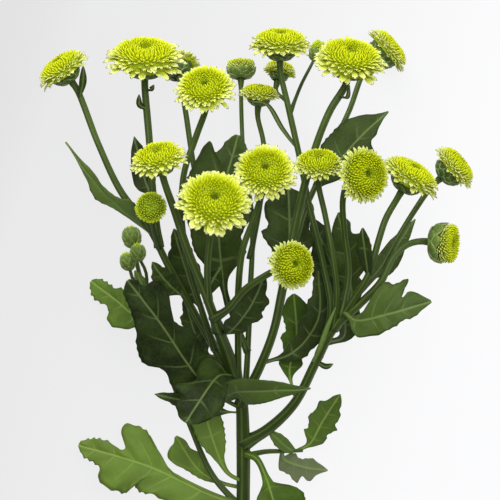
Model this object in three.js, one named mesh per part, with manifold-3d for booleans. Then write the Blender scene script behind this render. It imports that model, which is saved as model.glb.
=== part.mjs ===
// A cut spray of pompon chrysanthemum, laid down on a flat surface.
// Millimetres. +Z is up, +Y runs from the cut end of the stem to the flower heads.
import * as THREE from 'three';
import { mergeVertices } from 'three/addons/utils/BufferGeometryUtils.js';
import Module from 'manifold-3d';

const wasm = await Module();
wasm.setup();

// Driving dimensions of the spray
const CLEARANCE = 0.3; // gap between a piece and what it is seated on
const BLADE_THICKNESS = 0.8; // a leaf blade
const STALK_THICKNESS = 1.8; // a leaf stalk, where it leaves the stem
const STALK_SHARE = 0.3; // the part of a leaf over which the stalk thins into the blade
const BLADE_FOLD = 0.16; // how far the edges stand above the midrib, for each mm across
const BRACT_THICKNESS = 1; // a small narrow leaf that has grown in one with its stalk
const CUP = { width: 0.66, depth: 0.19 }; // a flower's green cup, as shares of the head's width
const DEEP_CUP = { width: 0.84, depth: 0.34 }; // the cup of a head that has only begun to open
const CUP_BRACTS = 5; // pointed bracts round the rim of a cup, or round the opening of a bud
const STALK_STEP = 13; // length of a straight piece of a bent stalk
const STALK_SIDES = 5; // sides of a stalk; the main stem has more
const NECK_RADIUS = 1.7; // a flower stalk where it widens into the cup
const NECK_LENGTH = 5; // the straight stretch of a stalk below its cup
const STALK_IN_CUP = 0.2; // how deep a stalk goes into its cup, as a share of the cup's depth
const STALK_IN_BUD = 0.2; // the same for a bud, as a share of the bud's width

// A head's florets stand in layers on a dome: the florets in a layer and the layers, by size
const LARGE = { florets: 12, layers: 5 };
const MEDIUM = { florets: 10, layers: 4 };
const SMALL = { florets: 9, layers: 3 };
const RIM_HEIGHT = 0.13; // height of the lowest tips over the base, as a share of the radius
const CORE_SHARE = 0.8; // the core that the florets stand out of, as a share of the dome's width
const CORE_HEIGHT = 0.9; // the same, as a share of the dome's height
const ROOT_RISE = 0.55; // how far up its layer a floret's root lies, as a share of the layer
const EYE_LAYERS = 0.35; // the closed eye on top of the dome, in layers
const NOTCH = 0.86; // how far out the notch between two tips lies, as a share of the tip
const TIP_LIFT = 0.04; // how far the longest tips curl up, as a share of the radius
const TIP_SPREAD = 0.05; // how much shorter than the longest the shortest florets are
const SEAT = 0.66; // radius of the flat seat under a head, as a share of its radius

const FLORET_LIME = 0xbcc936;
const STEM_GREEN = 0x4f6b2a;
const LEAF_GREEN = 0x2c4a1e;
const LEAF_LIGHT_GREEN = 0x5f7d35;

// Flower heads: centre of the base, direction it faces, width, and height as a share of radius
const heads = {
  head_01: { at: [-77, 74, 70], faces: [-0.53, 0.77, 0.35], across: 24, rise: 0.62, size: MEDIUM },
  head_02: { at: [-45, 78, 72], faces: [0.08, 0.86, 0.5], across: 32, rise: 0.58, size: LARGE },
  head_03: { at: [-31, 80, 26], faces: [0.46, 0.81, -0.36], across: 20, rise: 0.62, size: MEDIUM },
  head_04: { at: [-18, 64, 98], faces: [-0.05, 0.6, 0.8], across: 25, rise: 0.6, size: MEDIUM },
  head_05: { at: [13, 86, 52], faces: [0.02, 0.93, 0.37], across: 27, rise: 0.62, size: LARGE },
  head_06: { at: [-4, 80, 12], faces: [0, 0.99, -0.15], across: 14, rise: 0.8, size: SMALL },
  head_07: { at: [13, 78, 15], faces: [0.21, 0.96, -0.15], across: 15, rise: 0.8, size: SMALL },
  head_08: { at: [4, 67, 25], faces: [0.08, 0.96, 0.25], across: 18.5, rise: 0.66, size: SMALL },
  head_09: { at: [41, 77, 76], faces: [0.12, 0.8, 0.59], across: 31, rise: 0.6, size: LARGE },
  head_10: { at: [60, 88, 11.3], faces: [0.77, 0.63, 0.1], across: 23.5, rise: 0.65, size: MEDIUM },
  head_11: { at: [-36, 35, 106], faces: [-0.19, 0.83, 0.52], across: 24, rise: 0.6, size: MEDIUM },
  head_12: { at: [-40, 17, 92], faces: [0.03, 0.2, 0.98], across: 13.5, rise: 0.75, size: SMALL },
  head_13: { at: [-14, 18, 118], faces: [0.08, 0.55, 0.83], across: 31, rise: 0.56, size: LARGE },
  head_14: { at: [6, 31, 95], faces: [0.02, 0.5, 0.87], across: 26.5, rise: 0.58, size: LARGE },
  head_15: { at: [28, 34, 82], faces: [-0.02, 0.82, 0.57], across: 21, rise: 0.62, size: MEDIUM },
  head_16: { at: [45, 30, 98], faces: [0.5, 0.1, 0.86], across: 24, rise: 0.58, size: MEDIUM },
  head_17: { at: [65, 29, 80], faces: [0.46, 0.82, 0.34], across: 27, rise: 0.6, size: LARGE },
  head_18: { at: [85, 34, 58], faces: [0.74, 0.62, 0.25], across: 22, rise: 0.66, size: MEDIUM },
  head_19: { at: [77, 3, 72], faces: [0.86, -0.08, 0.5], across: 18.5, rise: 0.85, size: MEDIUM,
    cup: DEEP_CUP },
  head_20: { at: [16, -6, 110], faces: [0.45, 0.12, 0.88], across: 20.5, rise: 0.66, size: MEDIUM },
};

// Shoots: each run is a stalk with its route and its radius at both ends. A run that carries a
// head goes on from its last point into the head's cup.
const shoots = {
  main_stem: {
    runs: [
      { route: [[-4, -182, 3.5], [-4, -137, 16], [-3, -109, 25], [-3, -81, 34], [-4, -62, 44],
        [-8, -48, 55], [-13, -33, 74]], radius: [3.7, 2.6], sides: 8 },
      { route: [[-13, -33, 74], [-18, -18, 88], [-25, 0, 97], [-30, 15, 99]], radius: [2.1, 1.4],
        head: 'head_11' },
      { route: [[-17, -21, 85], [-17, -6, 99]], radius: [1.5, 1.4], head: 'head_13' },
      { route: [[-15, -28, 79], [-9, -24, 88], [-1, -15, 97]], radius: [1.7, 1.3], head: 'head_20' },
      { route: [[-5, -56, 48], [-5, -40, 62], [-5, -20, 73], [-3, 0, 78], [2, 14, 81]],
        radius: [1.5, 1.3], head: 'head_14' },
    ],
    bracts: [
      { rib: [[-16, -19, 87], [-13, -16, 90], [-12, -11, 93]], across: 4, faces: [0.3, -0.4, 0.8] },
    ],
  },
  shoot_left: {
    from: 'main_stem',
    runs: [
      { route: [[-4, -62, 44], [-15, -42, 49], [-26, -22, 56], [-35, -5, 62], [-42, 9, 66],
        [-52, 24, 68], [-63, 44, 69]], radius: [1.8, 1.3], head: 'head_01' },
      { route: [[-38, 1, 64], [-41, 22, 66], [-44, 46, 66]], radius: [1.4, 1.3], head: 'head_02' },
      { route: [[-38, 1, 64], [-40, 9, 74]], radius: [1.1, 1.1], head: 'head_12' },
      { route: [[-15, -42, 49], [-20, -26, 62], [-25, -8, 72], [-28, 12, 79], [-27, 31, 83],
        [-22, 46, 86]], radius: [1.4, 1.3], head: 'head_04' },
    ],
    bracts: [
      { rib: [[-70, 63, 68], [-68, 68, 71], [-68, 75, 73]], across: 3, faces: [0.6, -0.3, 0.7] },
      { rib: [[-45, 60, 66], [-48, 64, 69], [-49, 68, 71]], across: 2.5, faces: [0.5, -0.3, 0.8] },
      { rib: [[-44, 63, 67], [-41, 66, 70], [-41, 70, 71]], across: 2.5, faces: [0.5, 0.3, 0.8] },
    ],
  },
  shoot_back: {
    from: 'main_stem',
    runs: [
      { route: [[-3, -76, 36], [-1, -44, 36], [0, -20, 34], [1, 12, 26], [-3, 44, 17]],
        radius: [1.5, 0.9], head: 'head_06' },
      { route: [[0, -4, 30], [5, 24, 27], [6, 46, 25]], radius: [1.2, 1.1], head: 'head_08' },
      { route: [[-1, -44, 36], [-9, -24, 38], [-18, 4, 36], [-25, 37, 32], [-30, 58, 30]],
        radius: [1.3, 1.2], head: 'head_03' },
    ],
  },
  shoot_centre: {
    from: 'main_stem',
    runs: [
      { route: [[-4, -66, 42], [4, -50, 51], [10, -34, 56], [14, -15, 58], [20, 15, 62],
        [27, 42, 67], [34, 58, 69]], radius: [2.1, 1.4], head: 'head_09' },
      { route: [[16, -4, 59], [20, 6, 52], [23, 16, 44], [28, 27, 37], [36, 45, 27],
        [44, 62, 17]], radius: [1.4, 1.2], head: 'head_10' },
    ],
    bracts: [
      { rib: [[37, 64, 70], [40, 63, 74], [41, 68, 75]], across: 2, faces: [0.5, -0.4, 0.7] },
    ],
  },
  shoot_right: {
    from: 'main_stem',
    runs: [
      { route: [[-3, -84, 33], [6, -76, 38], [18, -64, 45], [28, -47, 55], [35, -33, 64],
        [42, -22, 70], [50, -14, 72], [57, -6, 71], [63, 0, 68]], radius: [2.5, 1.3],
        head: 'head_19' },
      { route: [[42, -22, 70], [49, -10, 75], [53, 4, 76], [56, 13, 76]], radius: [1.4, 1.3],
        head: 'head_17' },
      { route: [[46, -17, 71], [52, -6, 70], [59, 5, 65], [68, 18, 59]], radius: [1.3, 1.2],
        head: 'head_18' },
      { route: [[35, -33, 64], [36, -18, 71], [34, -2, 76], [31, 14, 77]], radius: [1.3, 1.2],
        head: 'head_15' },
      { route: [[38, -28, 67], [41, -10, 69], [39, 8, 74], [38, 21, 83]], radius: [1.4, 1.3],
        head: 'head_16' },
    ],
    bracts: [
      { rib: [[49, -10, 75], [48, -5, 79], [47, 1, 82], [46, 9, 84]], across: 5.5,
        faces: [-0.6, -0.1, 0.8] },
      { rib: [[28, -47, 55], [32, -49, 57], [35, -48, 58]], across: 2.5, faces: [0, -0.3, 0.9] },
    ],
  },
  shoot_right_back: {
    from: 'shoot_right',
    runs: [
      { route: [[29, -45, 56], [34, -26, 58], [31, -6, 53], [25, 20, 48], [21, 40, 48],
        [16, 62, 50]], radius: [1.5, 1.3], head: 'head_05' },
      { route: [[21, 40, 48], [19, 53, 35], [16, 65, 22]], radius: [1, 0.9], head: 'head_07' },
      { route: [[17, 58, 50], [22, 71, 40], [27, 81, 33]], radius: [0.8, 0.7],
        bud: { at: [29, 87, 29], faces: [0.3, 0.85, -0.45], across: 7 } },
    ],
    bracts: [
      { rib: [[21, 42, 48], [14, 52, 42], [7, 63, 38], [1, 64, 37]], across: 2,
        faces: [0, -0.3, 0.9] },
    ],
  },
  shoot_buds: {
    from: 'main_stem',
    runs: [
      { route: [[-3, -87, 32], [-17, -64, 26], [-33, -42, 19], [-44, -24, 13], [-50, -8, 7.5]],
        radius: [1.4, 1], bud: { at: [-53, 6, 4.3], faces: [-0.2, 0.95, -0.1], across: 8.6 } },
      { route: [[-46, -18, 11], [-53, -12, 11]], radius: [0.8, 0.7],
        bud: { at: [-56, -4, 12], faces: [-0.4, 0.9, 0.2], across: 7 } },
      { route: [[-45, -21, 12], [-46, -10, 15]], radius: [0.8, 0.7],
        bud: { at: [-48, -2, 17], faces: [0, 0.9, 0.4], across: 7 } },
    ],
  },
  shoot_low_right: {
    from: 'main_stem',
    runs: [
      { route: [[-3, -90, 31], [6, -88, 28], [15, -88, 25], [23, -88, 22]], radius: [1.2, 0.8] },
    ],
  },
};

// Leaf outlines: where a rib point lies on the midrib, where its edge point lies, and the half
// width there as a share of the leaf's width. A lobe's tip points forward, so it lies ahead.
const LOBED = [[0, 0, 0.05], [0.2, 0.2, 0.06], [0.28, 0.33, 0.3], [0.35, 0.38, 0.16],
  [0.43, 0.55, 0.5], [0.54, 0.58, 0.24], [0.64, 0.76, 0.42], [0.75, 0.79, 0.2],
  [0.86, 0.9, 0.16], [1, 1, 0.02]];
const TOOTHED = [[0, 0, 0.06], [0.15, 0.15, 0.08], [0.28, 0.32, 0.38], [0.38, 0.4, 0.33],
  [0.48, 0.55, 0.5], [0.58, 0.61, 0.4], [0.68, 0.76, 0.41], [0.79, 0.81, 0.27],
  [0.89, 0.92, 0.17], [1, 1, 0.02]];
const ROUNDED = [[0, 0, 0.05], [0.18, 0.18, 0.07], [0.3, 0.32, 0.34], [0.39, 0.42, 0.3],
  [0.48, 0.58, 0.5], [0.6, 0.65, 0.36], [0.72, 0.83, 0.42], [0.86, 0.95, 0.22], [1, 1, 0.04]];
const PLAIN = [[0, 0, 0.2], [0.3, 0.3, 0.42], [0.62, 0.62, 0.5], [0.86, 0.86, 0.28], [1, 1, 0.05]];

// Leaves: the shoot it grows from, its midrib, the side that its upper face looks to, its width
const leaves = {
  leaf_01: { on: 'shoot_left', outline: TOOTHED, across: 14, faces: [-0.6, -0.2, 0.75],
    rib: [[-41, 7, 66], [-47, 12, 74], [-61, 25, 82], [-75, 44, 86]] },
  leaf_02: { on: 'shoot_left', outline: TOOTHED, across: 8.5, faces: [-0.3, 0.3, 0.9],
    rib: [[-42, 24, 66], [-45, 29, 61], [-48, 38, 57], [-49, 47, 53]] },
  leaf_03: { on: 'shoot_back', outline: ROUNDED, across: 31, faces: [-0.2, -0.1, 0.95],
    rib: [[-9, -25, 38], [-11, -16, 43], [-13, 16, 48], [-5, 49, 46]] },
  leaf_04: { on: 'shoot_left', outline: TOOTHED, across: 14, faces: [-0.4, -0.3, 0.85],
    rib: [[-20, -26, 62], [-23, -20, 56], [-28, -5, 56], [-32, 9, 58]] },
  leaf_05: { on: 'shoot_centre', outline: TOOTHED, across: 17, faces: [-0.3, 0.2, 0.9],
    rib: [[28, 27, 37], [34, 33, 41], [47, 48, 38], [60, 60, 31]] },
  leaf_06: { on: 'shoot_centre', outline: ROUNDED, across: 20, faces: [0.1, -0.2, 0.95],
    rib: [[14, -17, 58], [13, -8, 48], [11, 11, 43], [8, 27, 40]] },
  leaf_07: { on: 'shoot_right', outline: LOBED, across: 25, faces: [-0.5, 0, 0.85],
    rib: [[40, -25, 68], [43, -19, 57], [41, -2, 50], [38, 16, 46]] },
  leaf_08: { on: 'shoot_right', outline: TOOTHED, across: 12, faces: [-0.4, 0.3, 0.85],
    rib: [[51, -8, 71], [56, -8, 62], [63, 1, 57], [71, 13, 53]] },
  leaf_09: { on: 'shoot_right', outline: TOOTHED, across: 26, faces: [0.1, 0.2, 0.95],
    rib: [[39, -26, 68], [44, -29, 77], [57, -26, 84], [74, -21, 84]] },
  leaf_10: { on: 'main_stem', outline: TOOTHED, across: 15, faces: [0.3, -0.5, 0.8],
    rib: [[-12, -35, 72], [-8, -33, 79], [0, -23, 86], [6, -10, 87]] },
  leaf_11: { on: 'shoot_centre', outline: TOOTHED, across: 14, faces: [0.2, -0.2, 0.95],
    rib: [[5, -48, 52], [19, -43, 47], [29, -29, 48], [29, -9, 47]] },
  leaf_12: { on: 'shoot_right', outline: LOBED, across: 13, faces: [0, -0.2, 0.95], light: true,
    rib: [[19, -62, 46], [18, -52, 40], [20, -38, 37], [18, -19, 33]] },
  leaf_13: { on: 'shoot_right', outline: TOOTHED, across: 15, faces: [0.3, 0, 0.95],
    rib: [[32, -39, 60], [40, -36, 49], [37, -12, 36], [29, 12, 32]] },
  leaf_14: { on: 'shoot_buds', outline: LOBED, across: 16, faces: [0, 0.2, 0.95], light: true,
    rib: [[-43, -26, 13], [-50, -29, 14], [-60, -22, 11], [-71, -14, 6]] },
  leaf_15: { on: 'main_stem', outline: ROUNDED, across: 22, faces: [0, -0.1, 0.95],
    rib: [[-3, -68, 41], [-11, -64, 45], [-22, -54, 51], [-38, -30, 59], [-53, -11, 61]] },
  leaf_16: { on: 'shoot_left', outline: TOOTHED, across: 10, faces: [-0.1, -0.4, 0.9],
    rib: [[-27, -20, 57], [-32, -18, 65], [-38, -12, 69], [-44, -5, 69]] },
  leaf_17: { on: 'shoot_left', outline: TOOTHED, across: 12, faces: [-0.6, 0, 0.8],
    rib: [[-13, -45, 48], [-19, -45, 43], [-24, -34, 42], [-28, -20, 42]] },
  leaf_18: { on: 'main_stem', outline: ROUNDED, across: 25, faces: [-0.3, 0.3, 0.9],
    rib: [[-6, -54, 50], [-13, -53, 62], [-19, -60, 71], [-28, -71, 74]] },
  leaf_19: { on: 'main_stem', outline: TOOTHED, across: 11, faces: [0, 0.1, 0.98],
    rib: [[-4, -70, 39], [-14, -70, 42], [-27, -66, 42], [-41, -63, 40]] },
  leaf_20: { on: 'main_stem', outline: TOOTHED, across: 14, faces: [0.1, -0.4, 0.9],
    rib: [[-4, -62, 44], [-7, -62, 56], [-2, -60, 68], [9, -60, 74], [24, -61, 76]] },
  leaf_21: { on: 'shoot_low_right', outline: TOOTHED, across: 14, faces: [-0.2, -0.1, 0.95],
    light: true, rib: [[21, -88, 22], [28, -85, 20], [34, -76, 16], [41, -64, 13]] },
  leaf_22: { on: 'shoot_low_right', outline: LOBED, across: 15, faces: [0.1, 0.1, 0.95],
    light: true, rib: [[14, -88, 25], [19, -92, 20], [26, -96, 15], [36, -99, 10]] },
  leaf_23: { on: 'main_stem', outline: LOBED, across: 28, faces: [0.1, 0.1, 0.98], light: true,
    rib: [[-3, -112, 24], [-17, -107, 27], [-44, -95, 23], [-77, -84, 13]] },
  leaf_24: { on: 'main_stem', outline: ROUNDED, across: 17, faces: [0.2, -0.1, 0.95], light: true,
    rib: [[-3, -101, 28], [-10, -96, 34], [-16, -82, 38], [-20, -68, 38]] },
  leaf_25: { on: 'main_stem', outline: TOOTHED, across: 13, faces: [0.2, 0, 0.95], light: true,
    rib: [[-3, -98, 28], [-14, -95, 20], [-26, -90, 14], [-38, -82, 9]] },
  leaf_26: { on: 'main_stem', outline: ROUNDED, across: 20, faces: [0.2, 0.1, 0.95], light: true,
    rib: [[-3, -93, 30], [4, -96, 41], [9, -104, 46], [17, -112, 47], [28, -119, 44]] },
};

const BUILT_ALONG = new THREE.Vector3(0, 1, 0); // the axis of heads, cups and buds as built
const STALK_SEAM = new THREE.Vector3(0.3, 0.1, 1); // the way the first ring of a stalk is turned
const SAME_PLACE = 1e-4; // vertices nearer than this are one vertex
const FIRST_SEED = 11; // seed of the first head; each next head has the next number

function vector(point) {
  return new THREE.Vector3(point[0], point[1], point[2]);
}

// A fixed sequence of numbers from 0 to 1, so that every build draws the same florets.
function seededDraw(seed) {
  let state = seed;
  return () => {
    state = (state * 16807) % 2147483647;
    return state / 2147483647;
  };
}

// A closed geometry as a solid that can be joined and cut. Vertices at one place become one,
// and triangles that have shrunk to a line, as at the poles of a lathed shape, are left out.
function solidOf(geometry) {
  const bare = geometry.clone();
  bare.deleteAttribute('normal');
  bare.deleteAttribute('uv');
  const merged = mergeVertices(bare, SAME_PLACE);
  const corners = merged.index.array;
  const kept = [];
  for (let i = 0; i < corners.length; i += 3) {
    const [a, b, c] = corners.slice(i, i + 3);
    if (a !== b && b !== c && c !== a) {
      kept.push(a, b, c);
    }
  }
  return new wasm.Manifold(new wasm.Mesh({
    numProp: 3,
    vertProperties: Float32Array.from(merged.attributes.position.array),
    triVerts: Uint32Array.from(kept),
  }));
}

function geometryOf(solid) {
  const mesh = solid.getMesh();
  const geometry = new THREE.BufferGeometry();
  geometry.setAttribute('position', new THREE.BufferAttribute(mesh.vertProperties, 3));
  geometry.setIndex(new THREE.BufferAttribute(mesh.triVerts, 1));
  geometry.computeVertexNormals();
  return geometry;
}

// The largest body of a solid that a cut may have left in several.
function largestBody(solid) {
  const bodies = solid.decompose();
  return bodies.reduce((best, body) => (body.volume() > best.volume() ? body : best));
}

// Turns a geometry that is built along +Y to face a direction, and moves it to its place.
function placed(geometry, at, faces) {
  const turn = new THREE.Quaternion().setFromUnitVectors(BUILT_ALONG, vector(faces).normalize());
  return geometry.applyQuaternion(turn).translate(at[0], at[1], at[2]);
}

// Pulls the vertices of a lathed shape about its axis: change(column, row, radius, height)
// gives the new radius and height. The last column repeats the first one.
function reshapeLathe(geometry, columns, rows, change) {
  const position = geometry.attributes.position;
  for (let column = 0; column <= columns; column += 1) {
    for (let row = 0; row < rows; row += 1) {
      const index = column * rows + row;
      const radius = Math.hypot(position.getX(index), position.getZ(index));
      const height = position.getY(index);
      const [newRadius, newHeight] = change(column % columns, row, radius, height);
      const angle = (column % columns) * Math.PI * 2 / columns;
      position.setXYZ(index, newRadius * Math.sin(angle), newHeight, newRadius * Math.cos(angle));
    }
  }
  return geometry;
}

// Florets of one head: a lathed dome with a ring of tips and a ring of roots for each layer.
// Every second column is a notch between two tips, and each layer is turned by half a floret.
function floretsGeometry(head, seed) {
  const radius = head.across / 2;
  const { florets, layers } = head.size;
  const rimHeight = RIM_HEIGHT * radius;
  const dome = head.rise * radius - rimHeight;
  const columns = florets * 2;
  const layerAngle = Math.PI / 2 / (layers + EYE_LAYERS);
  const profile = [new THREE.Vector2(0, 0), new THREE.Vector2(SEAT * radius, 0)];
  for (let layer = 0; layer < layers; layer += 1) {
    const tip = layer * layerAngle;
    const root = (layer + ROOT_RISE) * layerAngle;
    profile.push(new THREE.Vector2(radius * Math.cos(tip), rimHeight + dome * Math.sin(tip)));
    profile.push(new THREE.Vector2(CORE_SHARE * radius * Math.cos(root),
      rimHeight + CORE_HEIGHT * dome * Math.sin(root)));
  }
  profile.push(new THREE.Vector2(0, rimHeight + CORE_HEIGHT * dome));
  const draw = seededDraw(seed);
  const growth = Array.from({ length: columns * profile.length }, draw);
  const lathe = new THREE.LatheGeometry(profile, columns);
  return reshapeLathe(lathe, columns, profile.length, (column, row, r, height) => {
    const layer = (row - 2) / 2;
    if (row < 2 || row === profile.length - 1 || !Number.isInteger(layer)) {
      return [r, height];
    }
    if ((column + layer) % 2 === 1) {
      return [r * NOTCH, height - TIP_LIFT / 2 * radius];
    }
    const longer = growth[row * columns + column];
    return [r * (1 - TIP_SPREAD * (1 - longer)), height + TIP_LIFT * radius * longer];
  });
}

// The green cup under a head: a shallow bowl whose rim is a ring of pointed bracts.
function cupGeometry(head) {
  const cup = head.cup ?? CUP;
  const radius = cup.width * head.across / 2;
  const depth = cup.depth * head.across;
  const columns = 2 * CUP_BRACTS;
  const profile = [[0, -depth], [NECK_RADIUS, -depth], [0.8 * radius, -0.62 * depth],
    [1.06 * radius, -CLEARANCE - 0.12 * depth], [0, -CLEARANCE]];
  const lathe = new THREE.LatheGeometry(profile.map((p) => new THREE.Vector2(p[0], p[1])), columns);
  return reshapeLathe(lathe, columns, profile.length, (column, row, r, height) => {
    const isNotch = row === 3 && column % 2 === 1;
    return isNotch ? [r * 0.9, height - 0.12 * depth] : [r, height];
  });
}

// A closed green bud: a ball of bracts whose tips meet round a small opening.
function budGeometry(bud) {
  const radius = bud.across / 2;
  const columns = 2 * CUP_BRACTS;
  const profile = [[0, -0.9], [0.42, -0.86], [0.98, -0.25], [0.94, 0.35], [0.55, 0.86],
    [0, 0.72]].map((p) => new THREE.Vector2(p[0] * radius, p[1] * radius));
  const lathe = new THREE.LatheGeometry(profile, columns);
  return reshapeLathe(lathe, columns, profile.length, (column, row, r, height) => {
    const isNotch = (row === 4 && column % 2 === 1) || (row === 2 && column % 2 === 0);
    return isNotch ? [r * 0.86, height - 0.05 * radius] : [r, height];
  });
}

// A round stalk: a cylinder bent along a smooth curve, with its radius changing evenly, and
// made larger all round by the margin.
function stalkGeometry(points, radii, sides, margin) {
  const curve = new THREE.CatmullRomCurve3(points, false, 'centripetal');
  const steps = Math.max(4, Math.round(curve.getLength() / STALK_STEP));
  const cylinder = new THREE.CylinderGeometry(1, 1, 1, sides, steps);
  const rings = [];
  let normal = STALK_SEAM;
  for (let step = 0; step <= steps; step += 1) {
    const tangent = curve.getTangentAt(step / steps);
    normal = normal.clone().addScaledVector(tangent, -normal.dot(tangent)).normalize();
    const beyond = (step === steps) - (step === 0);
    const at = curve.getPointAt(step / steps).addScaledVector(tangent, beyond * margin);
    rings.push({ at, normal, side: tangent.clone().cross(normal) });
  }
  const position = cylinder.attributes.position;
  for (let i = 0; i < position.count; i += 1) {
    const share = position.getY(i) + 0.5;
    const ring = rings[Math.round(share * steps)];
    const radius = THREE.MathUtils.lerp(radii[0], radii[1], share) + margin;
    const place = ring.at.clone()
      .addScaledVector(ring.side, position.getX(i) * radius)
      .addScaledVector(ring.normal, position.getZ(i) * radius);
    position.setXYZ(i, place.x, place.y, place.z);
  }
  return cylinder;
}

// A blade along its midrib: a grid of three columns, left edge, rib and right edge, whose rows
// are the stations of its outline. Both faces are split alike, and a rim closes them.
function bladeGeometry(leaf) {
  const curve = new THREE.CatmullRomCurve3(leaf.rib.map(vector), false, 'centripetal');
  const rows = leaf.outline.length;
  const up = vector(leaf.faces);
  const positions = [];
  for (const face of [0.5, -0.5]) {
    for (const [ribShare, edgeShare, halfWidth] of leaf.outline) {
      for (const side of [-1, 0, 1]) {
        const share = side === 0 ? ribShare : edgeShare;
        const tangent = curve.getTangentAt(share);
        const normal = up.clone().addScaledVector(tangent, -up.dot(tangent)).normalize();
        const right = tangent.clone().cross(normal);
        const out = Math.abs(side) * halfWidth * leaf.across;
        const stalk = Math.max(0, 1 - ribShare / STALK_SHARE);
        const thickness = THREE.MathUtils.lerp(BLADE_THICKNESS, leaf.thickness, stalk);
        const place = curve.getPointAt(share)
          .addScaledVector(right, side * out)
          .addScaledVector(normal, BLADE_FOLD * out + face * thickness);
        positions.push(place.x, place.y, place.z);
      }
    }
  }
  const index = [];
  const below = rows * 3;
  const addQuad = (a, b, c, d) => index.push(a, b, c, a, c, d);
  for (let row = 0; row < rows - 1; row += 1) {
    const start = row * 3;
    for (const corner of [start, start + 1]) {
      const under = below + corner;
      addQuad(corner, corner + 1, corner + 4, corner + 3);
      addQuad(under, under + 3, under + 4, under + 1);
    }
    addQuad(start, start + 3, below + start + 3, below + start);
    addQuad(start + 5, start + 2, below + start + 2, below + start + 5);
  }
  for (const column of [0, 1]) {
    const last = below - 3 + column;
    addQuad(column + 1, column, below + column, below + column + 1);
    addQuad(last, last + 1, below + last + 1, below + last);
  }
  const geometry = new THREE.BufferGeometry();
  geometry.setAttribute('position', new THREE.Float32BufferAttribute(positions, 3));
  geometry.setIndex(index);
  return geometry;
}

// The points of a run, with those that lead it straight into its head or bud.
function runPoints(run) {
  const points = run.route.map(vector);
  if (run.head) {
    const head = heads[run.head];
    const depth = (head.cup ?? CUP).depth * head.across;
    const back = vector(head.faces).normalize().negate();
    points.push(vector(head.at).addScaledVector(back, depth + NECK_LENGTH));
    points.push(vector(head.at).addScaledVector(back, (1 - STALK_IN_CUP) * depth));
  }
  if (run.bud) {
    const back = vector(run.bud.faces).normalize().negate();
    points.push(vector(run.bud.at).addScaledVector(back, (0.5 - STALK_IN_BUD) * run.bud.across));
  }
  return points;
}

function joined(parts) {
  return parts.reduce((whole, part) => whole.add(part));
}

// The runs of a shoot, made thicker by the margin.
function runSolids(shoot, margin) {
  return shoot.runs.map((run) => {
    const sides = run.sides ?? STALK_SIDES;
    return solidOf(stalkGeometry(runPoints(run), run.radius, sides, margin));
  });
}

// One shoot: its runs, cups, buds and small bracts joined in one solid.
function shootSolid(shoot) {
  const parts = runSolids(shoot, 0);
  for (const run of shoot.runs) {
    if (run.head) {
      const head = heads[run.head];
      parts.push(solidOf(placed(cupGeometry(head), head.at, head.faces)));
    }
    if (run.bud) {
      parts.push(solidOf(placed(budGeometry(run.bud), run.bud.at, run.bud.faces)));
    }
  }
  for (const bract of shoot.bracts ?? []) {
    const blade = { ...bract, outline: PLAIN, thickness: BRACT_THICKNESS };
    parts.push(solidOf(bladeGeometry(blade)));
  }
  return joined(parts);
}

const spray = new THREE.Group();

function addPiece(name, geometry, color) {
  const material = new THREE.MeshStandardMaterial({ color, roughness: 0.7, metalness: 0 });
  const mesh = new THREE.Mesh(geometry, material);
  mesh.name = name;
  spray.add(mesh);
}

// Stems first: a shoot is cut clear of the one that it grows from. Each shoot's cutter is its
// runs with the clearance round them.
const cutters = {};
for (const [name, shoot] of Object.entries(shoots)) {
  cutters[name] = joined(runSolids(shoot, CLEARANCE));
  const whole = shootSolid(shoot);
  const seated = shoot.from ? largestBody(whole.subtract(cutters[shoot.from])) : whole;
  addPiece(name, geometryOf(seated), STEM_GREEN);
}

Object.entries(heads).forEach(([name, head], order) => {
  addPiece(name, placed(floretsGeometry(head, FIRST_SEED + order), head.at, head.faces), FLORET_LIME);
});

for (const [name, leaf] of Object.entries(leaves)) {
  const whole = solidOf(bladeGeometry({ ...leaf, thickness: STALK_THICKNESS }));
  const seated = largestBody(whole.subtract(cutters[leaf.on]));
  addPiece(name, geometryOf(seated), leaf.light ? LEAF_LIGHT_GREEN : LEAF_GREEN);
}

// The origin is the middle of the bottom of the whole spray's box.
const box = new THREE.Box3().setFromObject(spray, true);
const centre = box.getCenter(new THREE.Vector3());
spray.position.set(-centre.x, -centre.y, -box.min.z);

export default spray;
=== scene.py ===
# %% [markdown]
# # A cut spray of pompon chrysanthemum
#
# A spray chrysanthemum is one stem that forks into side shoots, with a flower head on the end of
# each. A pompon head is a dense dome of small florets. This spray has been cut and laid on a pale
# table, and the camera looks straight down on it.
#
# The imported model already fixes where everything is: twenty heads, eight shoots and twenty-six
# leaves as plain faceted solids. This lesson puts a fine surface in the place of each of them. The
# first cell loads the model and keeps its box, because the fine surfaces have to stay within it.

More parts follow.
